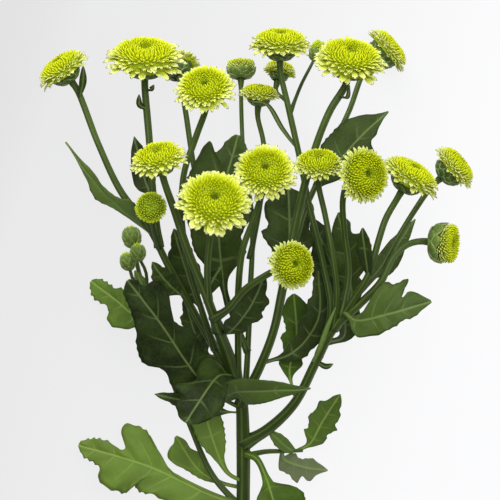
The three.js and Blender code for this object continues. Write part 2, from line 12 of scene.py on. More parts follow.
import bpy
import numpy as np
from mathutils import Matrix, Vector


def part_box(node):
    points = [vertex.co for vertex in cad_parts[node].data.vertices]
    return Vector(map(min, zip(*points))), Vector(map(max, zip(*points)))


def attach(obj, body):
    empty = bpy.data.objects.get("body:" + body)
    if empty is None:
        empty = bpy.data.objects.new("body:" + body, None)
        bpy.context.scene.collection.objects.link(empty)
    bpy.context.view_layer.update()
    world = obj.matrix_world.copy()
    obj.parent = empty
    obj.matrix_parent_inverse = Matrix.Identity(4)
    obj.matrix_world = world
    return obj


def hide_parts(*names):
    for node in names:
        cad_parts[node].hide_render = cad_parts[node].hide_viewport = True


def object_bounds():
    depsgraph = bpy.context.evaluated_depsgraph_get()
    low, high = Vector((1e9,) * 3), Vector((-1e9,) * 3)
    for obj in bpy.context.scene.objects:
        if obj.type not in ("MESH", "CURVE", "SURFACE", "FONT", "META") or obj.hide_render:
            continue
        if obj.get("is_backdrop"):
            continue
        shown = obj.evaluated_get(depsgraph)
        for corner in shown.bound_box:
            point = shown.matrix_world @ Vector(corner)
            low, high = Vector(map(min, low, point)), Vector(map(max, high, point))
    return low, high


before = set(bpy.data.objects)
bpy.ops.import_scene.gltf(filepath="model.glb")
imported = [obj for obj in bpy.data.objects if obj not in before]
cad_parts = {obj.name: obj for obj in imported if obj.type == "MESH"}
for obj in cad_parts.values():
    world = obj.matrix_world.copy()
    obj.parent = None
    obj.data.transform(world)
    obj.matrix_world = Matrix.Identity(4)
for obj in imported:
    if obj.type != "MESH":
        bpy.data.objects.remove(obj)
cad_box = [list(corner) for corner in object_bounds()]
print("nodes:", len(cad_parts), "box in metres:", np.round(cad_box, 4).tolist())

# %% [markdown]
# ## Where things are
#
# Every stalk, leaf and head was laid out in millimetres on one drawing: X to the right, Y towards
# the flowers, Z up from the table, with zero under the middle of the camera's view. The model's
# own zero is the middle of the bottom of its box, so one shift takes the drawing to the model. A
# later cell checks the shift against the boxes of the heads, most of which are where they were.

# %% From the drawing to the model
MM = 0.001  # metres in a millimetre
DRAWING_SHIFT = np.array([-3.17, 41.96, -0.10])  # from the drawing's zero to the model's, in mm


def in_model(points):
    """Points of the drawing, in millimetres, as points of the model, in metres."""
    return (np.asarray(points, float) + DRAWING_SHIFT) * MM


def unit(vectors):
    """Each vector divided by its own length."""
    vectors = np.asarray(vectors, float)
    return vectors / np.linalg.norm(vectors, axis=-1, keepdims=True)


def smoothstep(low, high, values):
    """0 below low, 1 above high, and 3x^2 - 2x^3 of the share in between."""
    share = np.clip((np.asarray(values, float) - low) / (high - low), 0, 1)
    return share * share * (3 - 2 * share)


# %% [markdown]
# The heads, with the middle of the base, the way the head faces, its width, its height as a share
# of its radius, and how far it has opened: 1 is fully open with a skirt of flat rays, and 0 is a
# green button whose florets are all still folded in.

# %% The flower heads
HEADS = {
    "head_01": dict(at=(-77, 74, 70), faces=(-0.53, 0.77, 0.35), across=24, rise=0.62, open=0.7),
    "head_02": dict(at=(-43.4, 78, 72), faces=(0.04, 0.86, 0.5), across=33.5, rise=0.58, open=1.0),
    "head_03": dict(at=(-31.5, 80, 26), faces=(-0.15, 0.86, -0.48), across=20, rise=0.62, open=0.7),
    "head_04": dict(at=(-18, 64, 98), faces=(-0.05, 0.6, 0.8), across=25, rise=0.6, open=0.9),
    "head_05": dict(at=(13, 86, 52), faces=(0.02, 0.93, 0.37), across=27, rise=0.62, open=0.8),
    "head_06": dict(at=(-4, 80, 12), faces=(0, 0.99, -0.15), across=14, rise=0.95, open=0.2),
    "head_07": dict(at=(13, 78, 15), faces=(0.21, 0.96, -0.15), across=15, rise=0.8, open=0.4),
    "head_08": dict(at=(4, 67, 25), faces=(0.08, 0.96, 0.25), across=18.5, rise=0.66, open=0.6),
    "head_09": dict(at=(41, 77, 76), faces=(0.12, 0.8, 0.59), across=31, rise=0.6, open=1.0),
    "head_10": dict(at=(60, 88, 11.3), faces=(0.77, 0.63, 0.1), across=23.5, rise=0.65, open=0.6),
    "head_11": dict(at=(-36, 35, 106), faces=(-0.19, 0.83, 0.52), across=24, rise=0.6, open=0.8),
    "head_12": dict(at=(-40, 17, 92), faces=(0.03, 0.2, 0.98), across=13.5, rise=0.75, open=0.0),
    "head_13": dict(at=(-14, 18, 118), faces=(0.08, 0.55, 0.83), across=31, rise=0.56, open=1.0),
    "head_14": dict(at=(6, 31, 95), faces=(0.02, 0.5, 0.87), across=26.5, rise=0.58, open=0.9),
    "head_15": dict(at=(28, 34, 82), faces=(-0.02, 0.82, 0.57), across=21, rise=0.62, open=0.6),
    "head_16": dict(at=(45, 30, 98), faces=(0.5, 0.1, 0.86), across=24, rise=0.58, open=0.5),
    "head_17": dict(at=(65, 29, 80), faces=(0.46, 0.82, 0.34), across=27, rise=0.6, open=0.8),
    "head_18": dict(at=(85, 34, 58), faces=(0.74, 0.62, 0.25), across=22, rise=0.66, open=0.5),
    "head_19": dict(at=(79.3, 3, 72.5), faces=(0.92, -0.06, 0.38), across=18.5, rise=1.0, open=0.3),
    "head_20": dict(at=(16, -6, 110), faces=(0.45, 0.12, 0.88), across=20.5, rise=0.66, open=0.4),
}
# A head's green cup, as shares of the head's width, and how much of that width its florets fill.
# A head that has only begun to open is held by a deep cup.
CUP = dict(width=0.58, depth=0.18, filled=1.0)
MIDDLE_CUP = dict(width=0.68, depth=0.25, filled=1.0)
DEEP_CUP = dict(width=1.0, depth=0.26, filled=0.86)
CUPS = dict(head_03=MIDDLE_CUP, head_06=DEEP_CUP, head_10=MIDDLE_CUP, head_18=MIDDLE_CUP,
            head_19=DEEP_CUP)
for name in HEADS:
    HEADS[name]["cup"] = CUPS.get(name, CUP)

misses = []
for name, head in HEADS.items():
    box_middle = np.mean(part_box(name), axis=0)
    middle = in_model(head["at"] + unit(head["faces"]) * head["rise"] * head["across"] / 4)
    misses.append(np.linalg.norm(box_middle - middle) / MM)
print("heads:", len(HEADS), "usual distance to the model's heads in mm:", round(np.median(misses), 2))

# %% [markdown]
# ## Meshes from arrays
#
# A petal, a scale and a leaf are all thin plates: a grid of points for the upper face, a second
# grid for the lower face, and a rim between them. A stalk, a bowl and a bud are tubes: rings of
# points, closed at both ends. Blender's modifiers could thicken a sheet, but then every floret
# would get the same thickness right up to its edge. Working both faces out from formulas lets the
# plate thin towards its edge, and one array operation makes hundreds of plates at a time.

# %% Faces of plates and tubes


def grid_faces(rows, columns):
    """Quads of a grid of points that is numbered row after row, seen from its upper side."""
    corner = (np.arange(rows - 1)[:, None] * columns + np.arange(columns - 1)[None, :]).ravel()
    return np.stack([corner, corner + 1, corner + columns + 1, corner + columns], axis=1)


def plate_faces(rows, columns):
    """Quads of a closed plate: the upper grid, the lower grid turned over, and the rim.

    The lower grid's points come after the upper grid's, in the same order."""
    upper = grid_faces(rows, columns)
    below = rows * columns
    first = np.arange(columns)
    right = np.arange(1, rows) * columns + columns - 1
    last = (rows - 1) * columns + np.arange(columns - 2, -1, -1)
    left = np.arange(rows - 2, 0, -1) * columns
    edge = np.concatenate([first, right, last, left])
    after = np.roll(edge, -1)
    rim = np.stack([after, edge, edge + below, after + below], axis=1)
    return np.concatenate([upper, upper[:, ::-1] + below, rim])


def tube_faces(rings, sides):
    """Quads round a tube, and the triangles that close its ends at two added middle points."""
    ring = np.arange(rings - 1)[:, None] * sides
    here = np.arange(sides)[None, :]
    after = (here + 1) % sides
    quads = np.stack([ring + here, ring + after, ring + sides + after, ring + sides + here], -1)
    here, after = here[0], after[0]
    start = np.stack([np.full(sides, rings * sides), after, here], axis=1)
    last = (rings - 1) * sides
    end = np.stack([np.full(sides, rings * sides + 1), last + here, last + after], axis=1)
    return quads.reshape(-1, 4), np.concatenate([start, end])


print("faces of a plate of 4 by 5 points:", len(plate_faces(4, 5)))

# %% [markdown]
# A part is its points, its faces and one value for each point and field. The fields carry what a
# material needs to know: how far along a petal a point lies, how near its edge, how old the petal
# is. They stay with the mesh wherever it goes, so no pattern can slide.

# %% From parts to a piece of the scene
slots_used = {}


def part(points, faces, **fields):
    """One closed shape: points (n, 3) in drawing millimetres, face arrays, a value per point."""
    points = np.asarray(points, float).reshape(-1, 3)
    values = {key: np.broadcast_to(np.asarray(value, float).ravel(), len(points))
              for key, value in fields.items()}
    return dict(points=points, faces=faces if isinstance(faces, tuple) else (faces,), fields=values)


def plates_part(places, **fields):
    """Closed plates in one part, from places (plate, upper or lower face, row, column, 3).

    Each field is a number or an array that repeats over the axes that it lacks."""
    count, _, rows, columns, _ = places.shape
    starts = np.arange(count)[:, None, None] * 2 * rows * columns
    faces = (plate_faces(rows, columns) + starts).reshape(-1, 4)
    fields = {key: np.broadcast_to(value, places.shape[:-1]) for key, value in fields.items()}
    return part(places, faces, **fields)


def volume(shape):
    """The volume inside a closed part, below zero if its faces point inwards: a sixth of the
    triple product of each triangle's corners, summed over the triangles."""
    total = 0
    for faces in shape["faces"]:
        corners = shape["points"][faces]
        for k in range(1, faces.shape[1] - 1):
            across = np.cross(corners[:, k], corners[:, k + 1])
            total += np.sum(corners[:, 0] * across) / 6
    return total


def make_piece(name, parts, material, slot, stands_for=()):
    """Joins parts in one mesh object, in the model's frame, and lets it ride on the body."""
    if min(volume(shape) for shape in parts) <= 0:
        print("INSIDE OUT:", name, [round(volume(shape), 2) for shape in parts])
    starts = np.cumsum([0] + [len(p["points"]) for p in parts])
    face_arrays = [faces + start for p, start in zip(parts, starts) for faces in p["faces"]]
    corners = np.concatenate([faces.ravel() for faces in face_arrays])
    sizes = np.concatenate([np.full(len(faces), faces.shape[1]) for faces in face_arrays])
    mesh = bpy.data.meshes.new(name)
    mesh.vertices.add(starts[-1])
    places = np.concatenate([p["points"] for p in parts])
    mesh.vertices.foreach_set("co", in_model(places).astype(np.float32).ravel())
    mesh.loops.add(len(corners))
    mesh.loops.foreach_set("vertex_index", corners.astype(np.int32))
    mesh.polygons.add(len(sizes))
    mesh.polygons.foreach_set("loop_start", (np.cumsum(sizes) - sizes).astype(np.int32))
    mesh.update(calc_edges=True)
    mesh.shade_smooth()
    for key in parts[0]["fields"]:
        values = np.concatenate([p["fields"][key] for p in parts]).astype(np.float32)
        mesh.attributes.new(key, "FLOAT", "POINT").data.foreach_set("value", values)
    mesh.materials.append(material)
    piece = bpy.data.objects.new(name, mesh)
    bpy.context.scene.collection.objects.link(piece)
    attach(piece, "root")
    if stands_for:
        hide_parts(*stands_for)
    slots_used[slot] = slots_used.get(slot, 0) + int((sizes - 2).sum())
    return piece


# %% [markdown]
# ## Smooth paths
#
# Stalks and midribs bend through a few points. A centripetal Catmull-Rom curve passes through all
# of them without loops or overshoot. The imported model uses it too, so a fine stalk with the same
# points as a plain one runs in the same place.

# %% A path through points, and what is square to it
STEPS_BETWEEN_POINTS = 24
SEAM_SIDE = np.array([0.3, 0.1, 1.0])  # roughly up: the side on which a stalk's ring starts


def curve_through(points, steps):
    """The centripetal Catmull-Rom curve through the points, with that many steps between two.

    Each stretch is a cubic whose end slopes weigh the chords by the square roots of their
    lengths. Beyond both ends the first and last chords go straight on."""
    p = np.asarray(points, float)
    p = np.vstack([2 * p[0] - p[1], p, 2 * p[-1] - p[-2]])
    root = np.sqrt(np.linalg.norm(np.diff(p, axis=0), axis=1))[:, None]
    before, here, after = root[:-2], root[1:-1], root[2:]
    a, b, c, d = p[:-3], p[1:-2], p[2:-1], p[3:]
    leave = ((b - a) / before - (c - a) / (before + here) + (c - b) / here) * here
    arrive = ((c - b) / here - (d - b) / (here + after) + (d - c) / after) * here
    t = np.linspace(0, 1, steps, endpoint=False)[None, :, None]
    b, c, leave, arrive = b[:, None], c[:, None], leave[:, None], arrive[:, None]
    curve = (2 * t**3 - 3 * t**2 + 1) * b + (t**3 - 2 * t**2 + t) * leave
    curve = curve + (3 * t**2 - 2 * t**3) * c + (t**3 - t**2) * arrive
    return np.vstack([curve.reshape(-1, p.shape[1]), p[-2]])


def smooth_path(points, count):
    """That curve as count points an even distance apart, and its length."""
    curve = curve_through(points, STEPS_BETWEEN_POINTS)
    length = np.concatenate([[0], np.cumsum(np.linalg.norm(np.diff(curve, axis=0), axis=1))])
    at = np.linspace(0, length[-1], count)
    even = np.column_stack([np.interp(at, length, column) for column in curve.T])
    return even, length[-1]


def square_to(tangents, towards):
    """The part of a direction that is square to each tangent, as a unit vector."""
    along = np.sum(tangents * towards, axis=-1, keepdims=True)
    return unit(towards - along * tangents)


def axes_of(faces):
    """Two unit vectors that are square to the way something faces, and that way itself."""
    axis = unit(faces)
    first = square_to(axis, np.array([0.0, 0.0, 1.0]) if abs(axis[2]) < 0.9 else np.array([0, 1.0, 0]))
    return first, np.cross(axis, first), axis


def turned_part(at, faces, radii, heights, ends, sides, **fields):
    """A closed surface of revolution: rings of points with those radii and heights on the axis,
    closed at two points of the axis, whose heights are the ends."""
    first, second, axis = axes_of(faces)
    around = np.linspace(0, 2 * np.pi, sides, endpoint=False)[None, :, None]
    ring = np.cos(around) * first + np.sin(around) * second
    points = np.array(at) + radii[:, None, None] * ring + heights[:, None, None] * axis
    ends = np.array(at) + np.array(ends)[:, None] * axis
    points = np.concatenate([points.reshape(-1, 3), ends])
    return part(points, tube_faces(len(radii), sides), **fields)


test_path, test_length = smooth_path([(0, 0, 0), (10, 0, 0), (20, 5, 0)], 5)
print("test path:", np.round(test_path[:, 1], 2).tolist(), "length", round(test_length, 2))

# %% [markdown]
# ## Materials
#
# Colours are written as the hex values that a colour picker shows, and one function turns them to
# the linear values that Blender's shaders work in. A second small function adds a node with its
# settings and its links. Every pattern reads a field of the mesh or its Object coordinates.

# %% Colour and node helpers


def linear(hex_colour):
    """An sRGB hex colour as linear red, green, blue and a full alpha."""
    values = np.array([int(hex_colour[k:k + 2], 16) for k in (1, 3, 5)]) / 255
    values = np.where(values <= 0.04045, values / 12.92, ((values + 0.055) / 1.055) ** 2.4)
    return (*values.tolist(), 1.0)


def add_node(tree, kind, inputs=None, out=0, stops=(), **settings):
    """Adds a node and returns one of its outputs, by name or number.

    The settings are the node's own properties, and the stops are a colour ramp's (place, hex
    colour) pairs. The inputs go to sockets by name or number: another node's output is linked,
    a hex colour is turned to linear, and a number is set as it is."""
    node = tree.nodes.new(kind)
    for key, value in settings.items():
        setattr(node, key, value)
    for key, value in (inputs or {}).items():
        if isinstance(value, bpy.types.NodeSocket):
            tree.links.new(value, node.inputs[key])
        else:
            node.inputs[key].default_value = linear(value) if isinstance(value, str) else value
    for order, (place, colour) in enumerate(stops):
        elements = node.color_ramp.elements
        element = elements[order] if order < 2 else elements.new(place)
        element.position = place
        element.color = linear(colour)
    return node.outputs[out]


def new_material(name, roughness, ior, **sockets):
    """A material with a Principled shader, its tree and the shader's sockets. Other sockets are
    named by their own names, with underscores for the spaces."""
    material = bpy.data.materials.new(name)
    material.use_nodes = True
    shader = material.node_tree.nodes["Principled BSDF"].inputs
    shader["Roughness"].default_value = roughness
    shader["IOR"].default_value = ior
    for key, value in sockets.items():
        shader[key.replace("_", " ")].default_value = value
    return material, material.node_tree, shader


# The kinds of node that the materials use, and the settings that go with them
FIELD = "ShaderNodeAttribute"  # the value of a field of the mesh
PLACE = "ShaderNodeTexCoord"
NOISE = "ShaderNodeTexNoise"
RAMP = "ShaderNodeValToRGB"
RANGE = "ShaderNodeMapRange"  # sockets: value, from low, from high, to low, to high
SMOOTH = dict(interpolation_type="SMOOTHSTEP")
MIX = "ShaderNodeMix"  # sockets: 0 the share, 6 and 7 the colours
COLOURS = dict(data_type="RGBA", out=2)
MATHS = "ShaderNodeMath"
BUMP = "ShaderNodeBump"

print("mid grey #808080 is", round(linear("#808080")[0], 4), "in linear light")

# %% [markdown]
# A floret is a thin living petal: matt, a little see-through, with no varnish-like gloss. The lime
# green is chlorophyll under yellow. Only the last quarter of a young floret sees the light, so the
# rest of it is painted dark as shade and its tip bright, and from above the head is a field of
# bright dots. The oldest rays have faded to cream at their tips and edges. Light that enters the
# petal comes out again beside it, which fills the gaps between florets with yellow: that is the
# subsurface part. Fine grooves run along each petal.

# %% The florets' material
PETAL = dict(roughness=0.6, ior=1.35, Specular_IOR_Level=0.12, Subsurface_Weight=0.3,
             Subsurface_Scale=1.2 * MM, Subsurface_Radius=(1.0, 1.0, 0.15))


def floret_material():
    """Dark with painted shade at the root, lime at the tip, and cream at the tip and edges of the
    oldest.
    """
    material, tree, shader = new_material("lime_ray_petal", **PETAL)
    along, age, edge, unripe = (add_node(tree, FIELD, out="Fac", attribute_name=key)
                                for key in ("along", "age", "edge", "unripe"))
    # Both ramps paint shade and light: the root is dark because it lies in shade under the tips, and
    # the tip is bright because it sees the light.
    young = add_node(tree, RAMP, {0: along}, stops=(
        (0.0, "#5A6A08"), (0.55, "#8A9A0A"), (0.76, "#AEBA0E"), (0.9, "#CCD612"), (1.0, "#D8E028")))
    old = add_node(tree, RAMP, {0: along}, stops=(
        (0.0, "#6A7A10"), (0.5, "#A6B222"), (0.76, "#CAD250"), (1.0, "#E6E9A8")))
    aged = add_node(tree, RANGE, {0: age, 1: 0.55, 2: 0.95}, **SMOOTH)
    colour = add_node(tree, MIX, {0: aged, 6: young, 7: old}, **COLOURS)
    # The eye: the unopened middle florets' own green, made much darker as painted shade in the sunk
    # middle.
    eye = add_node(tree, RANGE, {0: age, 1: 0.1, 2: 0.2, 3: 1.0, 4: 0.0}, **SMOOTH)
    colour = add_node(tree, MIX, {0: eye, 6: colour, 7: "#2A3E06"}, **COLOURS)
    rim = add_node(tree, RANGE, {0: edge, 1: 0.35, 2: 1.0, 4: 0.5}, **SMOOTH)
    outer = add_node(tree, RANGE, {0: along, 1: 0.5, 2: 1.0}, **SMOOTH)
    rim = add_node(tree, MATHS, {0: rim, 1: outer}, operation="MULTIPLY")
    rim = add_node(tree, MATHS, {0: rim, 1: aged}, operation="MULTIPLY")
    colour = add_node(tree, MIX, {0: rim, 6: colour, 7: "#F0F2C0"}, **COLOURS)
    green = add_node(tree, MATHS, {0: unripe, 1: 0.6}, operation="MULTIPLY")
    colour = add_node(tree, MIX, {0: green, 6: colour, 7: "#8CA00C"}, **COLOURS)
    tree.links.new(colour, shader["Base Color"])
    grooves = add_node(tree, MATHS, {0: edge, 1: 9.0}, operation="MULTIPLY")
    grooves = add_node(tree, MATHS, {0: grooves}, operation="SINE")
    relief = {"Height": grooves, "Distance": 0.06 * MM, "Strength": 0.5}
    tree.links.new(add_node(tree, BUMP, relief), shader["Normal"])
    return material


def button_material():
    """The same petal before it opens: green all through, darkened at the root as painted shade, and
    only its tip and edge are lime.
    """
    material, tree, shader = new_material("green_bud_petal", **PETAL)
    along, age, edge, unripe = (add_node(tree, FIELD, out="Fac", attribute_name=key)
                                for key in ("along", "age", "edge", "unripe"))
    # The ramp paints shade and light: dark at the root, which lies in shade, and bright at the tip,
    # which sees the light.
    colour = add_node(tree, RAMP, {0: along}, stops=(
        (0.0, "#4E6010"), (0.6, "#869A18"), (0.85, "#BACE26"), (1.0, "#D6E248")))
    middle = add_node(tree, RANGE, {0: age, 1: 0.15, 2: 0.6, 3: 0.4, 4: 0.0}, **SMOOTH)
    colour = add_node(tree, MIX, {0: middle, 6: colour, 7: "#86A01C"}, **COLOURS)
    rim = add_node(tree, RANGE, {0: edge, 1: 0.5, 2: 1.0, 4: 0.3}, **SMOOTH)
    colour = add_node(tree, MIX, {0: rim, 6: colour, 7: "#C6D650"}, **COLOURS)
    green = add_node(tree, MATHS, {0: unripe, 1: 0.3}, operation="MULTIPLY")
    colour = add_node(tree, MIX, {0: green, 6: colour, 7: "#8EA818"}, **COLOURS)
    tree.links.new(colour, shader["Base Color"])
    return material


FLORET = floret_material()
BUTTON = button_material()
print("materials:", FLORET.name, BUTTON.name)

# %% [markdown]
# Stalk and leaf are both waxy green skin over wet tissue, so both have a broad soft highlight. A
# chrysanthemum stem is ribbed along its length, with paler ribs and darker grooves: partly the
# ribs' own paler green, partly painted highlight on the ribs and painted shade in the grooves.
# Under the head, scales with thin papery edges overlap like tiles.

# %% The stalks' and scales' materials


def patchy(tree, colour, second, size_mm, strength):
    """A colour with soft patches of a second one, each about that wide."""
    place = add_node(tree, PLACE, out="Object")
    patches = add_node(tree, NOISE, {"Vector": place, "Scale": 1000 / size_mm, "Detail": 3.0})
    patches = add_node(tree, RANGE, {0: patches, 1: 0.4, 2: 0.7, 4: strength}, **SMOOTH)
    return add_node(tree, MIX, {0: patches, 6: colour, 7: second}, **COLOURS)


def roughen(tree, shader, grain_mm, depth_mm, strength):
    """Gives a surface a fine bump of grains about that wide and deep."""
    place = add_node(tree, PLACE, out="Object")
    grain = add_node(tree, NOISE, {"Vector": place, "Scale": 1000 / grain_mm, "Detail": 3.0})
    relief = {"Height": grain, "Distance": depth_mm * MM, "Strength": strength}
    tree.links.new(add_node(tree, BUMP, relief), shader["Normal"])


def stem_material():
    """Green with slightly paler ribs and darker grooves, partly their own colour and partly painted
    highlight and shade, and patchy along the stem.
    """
    material, tree, shader = new_material("ribbed_green_stem", 0.5, 1.4, Specular_IOR_Level=0.3)
    rib, far = (add_node(tree, FIELD, out="Fac", attribute_name=key) for key in ("rib", "far"))
    # The rib ramp paints a highlight on each rib and shade in each groove, over the ribs' own paler
    # green.
    colour = add_node(tree, RAMP, {0: rib}, stops=(
        (0.0, "#2A3810"), (0.6, "#384A18"), (1.0, "#566A30")))
    top = add_node(tree, RANGE, {0: far, 1: 0.2, 2: 1.0, 4: 0.45}, **SMOOTH)
    colour = add_node(tree, MIX, {0: top, 6: colour, 7: "#4C6020"}, **COLOURS)
    colour = patchy(tree, colour, "#2A380E", size_mm=9.0, strength=0.35)
    tree.links.new(colour, shader["Base Color"])
    roughen(tree, shader, grain_mm=0.7, depth_mm=0.1, strength=0.5)
    return material


def scale_material():
    """Green scales whose thin edges are pale and dry."""
    material, tree, shader = new_material("papery_edged_scale", 0.5, 1.4, Specular_IOR_Level=0.35)
    edge, along, pale = (add_node(tree, FIELD, out="Fac", attribute_name=key)
                         for key in ("edge", "along", "pale"))
    colour = add_node(tree, RAMP, {0: along}, stops=(
        (0.0, "#2A3C0E"), (0.7, "#405A1C"), (1.0, "#5C7630")))
    colour = add_node(tree, MIX, {0: pale, 6: colour, 7: "#7C9440"}, **COLOURS)
    rim = add_node(tree, RANGE, {0: edge, 1: 0.6, 2: 1.0, 4: 0.7}, **SMOOTH)
    colour = add_node(tree, MIX, {0: rim, 6: colour, 7: "#98A668"}, **COLOURS)
    colour = patchy(tree, colour, "#304612", size_mm=1.5, strength=0.3)
    tree.links.new(colour, shader["Base Color"])
    roughen(tree, shader, grain_mm=0.5, depth_mm=0.08, strength=0.5)
    return material


def cut_material():
    """The cut-off end: a green skin, a wet pale ring of wood and a spongy white pith."""
    material, tree, shader = new_material("fresh_cut_stem_end", 0.35, 1.4)
    out = add_node(tree, FIELD, out="Fac", attribute_name="out")
    colour = add_node(tree, RAMP, {0: out}, stops=(
        (0.0, "#DDE0BC"), (0.45, "#CBD29C"), (0.62, "#9DAE62"), (0.85, "#86994A"), (0.95, "#3F5618")))
    tree.links.new(colour, shader["Base Color"])
    roughen(tree, shader, grain_mm=0.35, depth_mm=0.15, strength=0.7)
    return material


STEM = stem_material()
SCALE = scale_material()
CUT = cut_material()
print("materials:", STEM.name, SCALE.name, CUT.name)

# %% [markdown]
# The leaf's pattern follows its own growth. One field counts stations along the leaf, and a side
# vein leaves the midrib at every second station, where a lobe's tip is. Another field is the
# distance to the midrib in millimetres. Between the veins lies a net of cells about 2.5 mm wide.

# %% The leaves' material


def leaf_material(name, blade, patch, pale, vein, under):
    """A leaf: pale veins sunk in a darker blade above, darkened towards its edge as painted shade, and
    a dull paler green below.
    """
    material, tree, shader = new_material(name, 0.6, 1.4, Specular_IOR_Level=0.2,
                                          Subsurface_Weight=0.1, Subsurface_Scale=1.0 * MM)
    station, across, side, below, tone = (
        add_node(tree, FIELD, out="Fac", attribute_name=key)
        for key in ("station", "across", "side", "under", "tone"))
    place = add_node(tree, PLACE, out="Object")
    slant = add_node(tree, NOISE, {"Vector": place, "Scale": 1000 / 6.0, "Detail": 3.0})
    slant = add_node(tree, MATHS, {0: slant, 1: 0.12, 2: station}, operation="MULTIPLY_ADD")
    lateral = add_node(tree, MATHS, {0: slant, 1: 1.0}, operation="PINGPONG")
    lateral = add_node(tree, RANGE, {0: lateral, 1: 0.03, 2: 0.11, 3: 1.0, 4: 0.0}, **SMOOTH)
    fading = add_node(tree, RANGE, {0: across, 1: 0.2, 2: 0.9, 3: 0.25, 4: 0.0}, **SMOOTH)
    lateral = add_node(tree, MATHS, {0: lateral, 1: fading}, operation="MULTIPLY")
    midrib = add_node(tree, RANGE, {0: side, 1: 0.1, 2: 0.7, 3: 0.5, 4: 0.0}, **SMOOTH)
    veins = add_node(tree, MATHS, {0: lateral, 1: midrib}, operation="MAXIMUM")
    net = add_node(tree, "ShaderNodeTexVoronoi", {"Vector": place, "Scale": 1000 / 2.5},
                   out="Distance", feature="DISTANCE_TO_EDGE")
    net = add_node(tree, RANGE, {0: net, 1: 0.02, 2: 0.14, 3: 0.15, 4: 0.0}, **SMOOTH)
    patches = add_node(tree, NOISE, {"Vector": place, "Scale": 1000 / 11.0, "Detail": 3.0})
    patches = add_node(tree, RANGE, {0: patches, 1: 0.35, 2: 0.7}, **SMOOTH)
    colour = add_node(tree, MIX, {0: patches, 6: blade, 7: patch}, **COLOURS)
    colour = add_node(tree, MIX, {0: tone, 6: colour, 7: pale}, **COLOURS)
    faint = add_node(tree, MATHS, {0: net, 1: 0.2}, operation="MULTIPLY")
    colour = add_node(tree, MIX, {0: faint, 6: colour, 7: vein}, **COLOURS)
    # Painted shade: towards the edge the colour goes back to the dark blade green.
    rim = add_node(tree, RANGE, {0: across, 1: 0.85, 2: 1.0, 4: 0.3}, **SMOOTH)
    colour = add_node(tree, MIX, {0: rim, 6: colour, 7: blade}, **COLOURS)
    upper = add_node(tree, MIX, {0: veins, 6: colour, 7: vein}, **COLOURS)
    lower = add_node(tree, MIX, {0: veins, 6: under, 7: vein}, **COLOURS)
    colour = add_node(tree, MIX, {0: below, 6: upper, 7: lower}, **COLOURS)
    tree.links.new(colour, shader["Base Color"])
    height = add_node(tree, MATHS, {0: veins, 1: net}, operation="MAXIMUM")
    relief = {"Height": height, "Distance": 0.3 * MM, "Strength": 0.4}
    tree.links.new(add_node(tree, BUMP, relief, invert=True), shader["Normal"])
    return material


LEAF = leaf_material("waxy_dark_leaf", "#162204", "#2A3A0E", "#5A7230", "#7A8E52", "#46583A")
# A paler copy of the same leaf, whose colours are painted light: the glow of leaves with light shining
# through them from behind.
LEAF_PAINTED_BACKLIGHT = leaf_material("leaf_painted_backlit", "#324A06", "#42600C", "#86A04C", "#8CA250", "#66724E")
print("materials:", LEAF.name, LEAF_PAINTED_BACKLIGHT.name)

# %% [markdown]
# ## Florets
#
# Plants place each new floret 137.5 degrees round from the last one, which fills a disc evenly and
# gives the crossing spirals seen from above. The youngest are in the middle. They are small and
# stand close together, and each is a folded spoon whose hollow side looks to the middle. Towards
# the rim they are larger, unroll, and at last lie flat as rays.
#
# One rule places them all: the tips lie on the head's dome, and the distance between them grows
# from the middle to the rim. Adding up how many fit inside each circle turns the number of a
# floret into its place on the dome.

# %% Where the florets of a head grow
GOLDEN_ANGLE = np.pi * (3 - np.sqrt(5))  # 137.5 degrees
CENTRE_SPACING = 0.98  # mm between the tips of the youngest florets
RAY_SPACING = 3.1  # mm between the tips of the outermost rays
FULL_RADIUS = 15.5  # mm, the radius of a head that has rays of that spacing
LATE_GROWTH = 2.4  # the power of the age by which the spacing grows
DOME_STEPS = 400  # points of a dome, for adding up its florets

# The dome on which the tips lie: distance from the axis and height, as shares of the head's
# radius and height, for an open head, for one that is held by a deep cup and for a button. The
# eye in the middle is sunk.
OPEN_DOME = np.array([(0, 0.45), (0.05, 0.5), (0.1, 0.66), (0.16, 0.76), (0.28, 0.8),
                      (0.44, 0.78), (0.58, 0.72), (0.71, 0.61), (0.83, 0.45), (0.93, 0.24),
                      (1.0, -0.06)])
HELD_DOME = np.array([(0, 0.48), (0.08, 0.54), (0.2, 0.64), (0.4, 0.7), (0.6, 0.74), (0.8, 0.75),
                      (0.94, 0.7), (1.01, 0.58), (1.03, 0.3), (1.0, 0.0)])
BUTTON_DOME = np.array([(0, 0.74), (0.06, 0.77), (0.12, 0.87), (0.2, 0.95), (0.34, 0.97),
                        (0.5, 0.93), (0.65, 0.83), (0.78, 0.69), (0.88, 0.5), (0.95, 0.28),
                        (0.98, 0.02)])


def dome_of(head):
    """The dome on which a head's tips lie, as distances from the axis and heights in mm."""
    radius = head["cup"]["filled"] * head["across"] / 2
    if head["cup"] is DEEP_CUP:
        shares = HELD_DOME
    else:
        shares = head["open"] * OPEN_DOME + (1 - head["open"]) * BUTTON_DOME
    return shares * (radius, head["rise"] * radius)


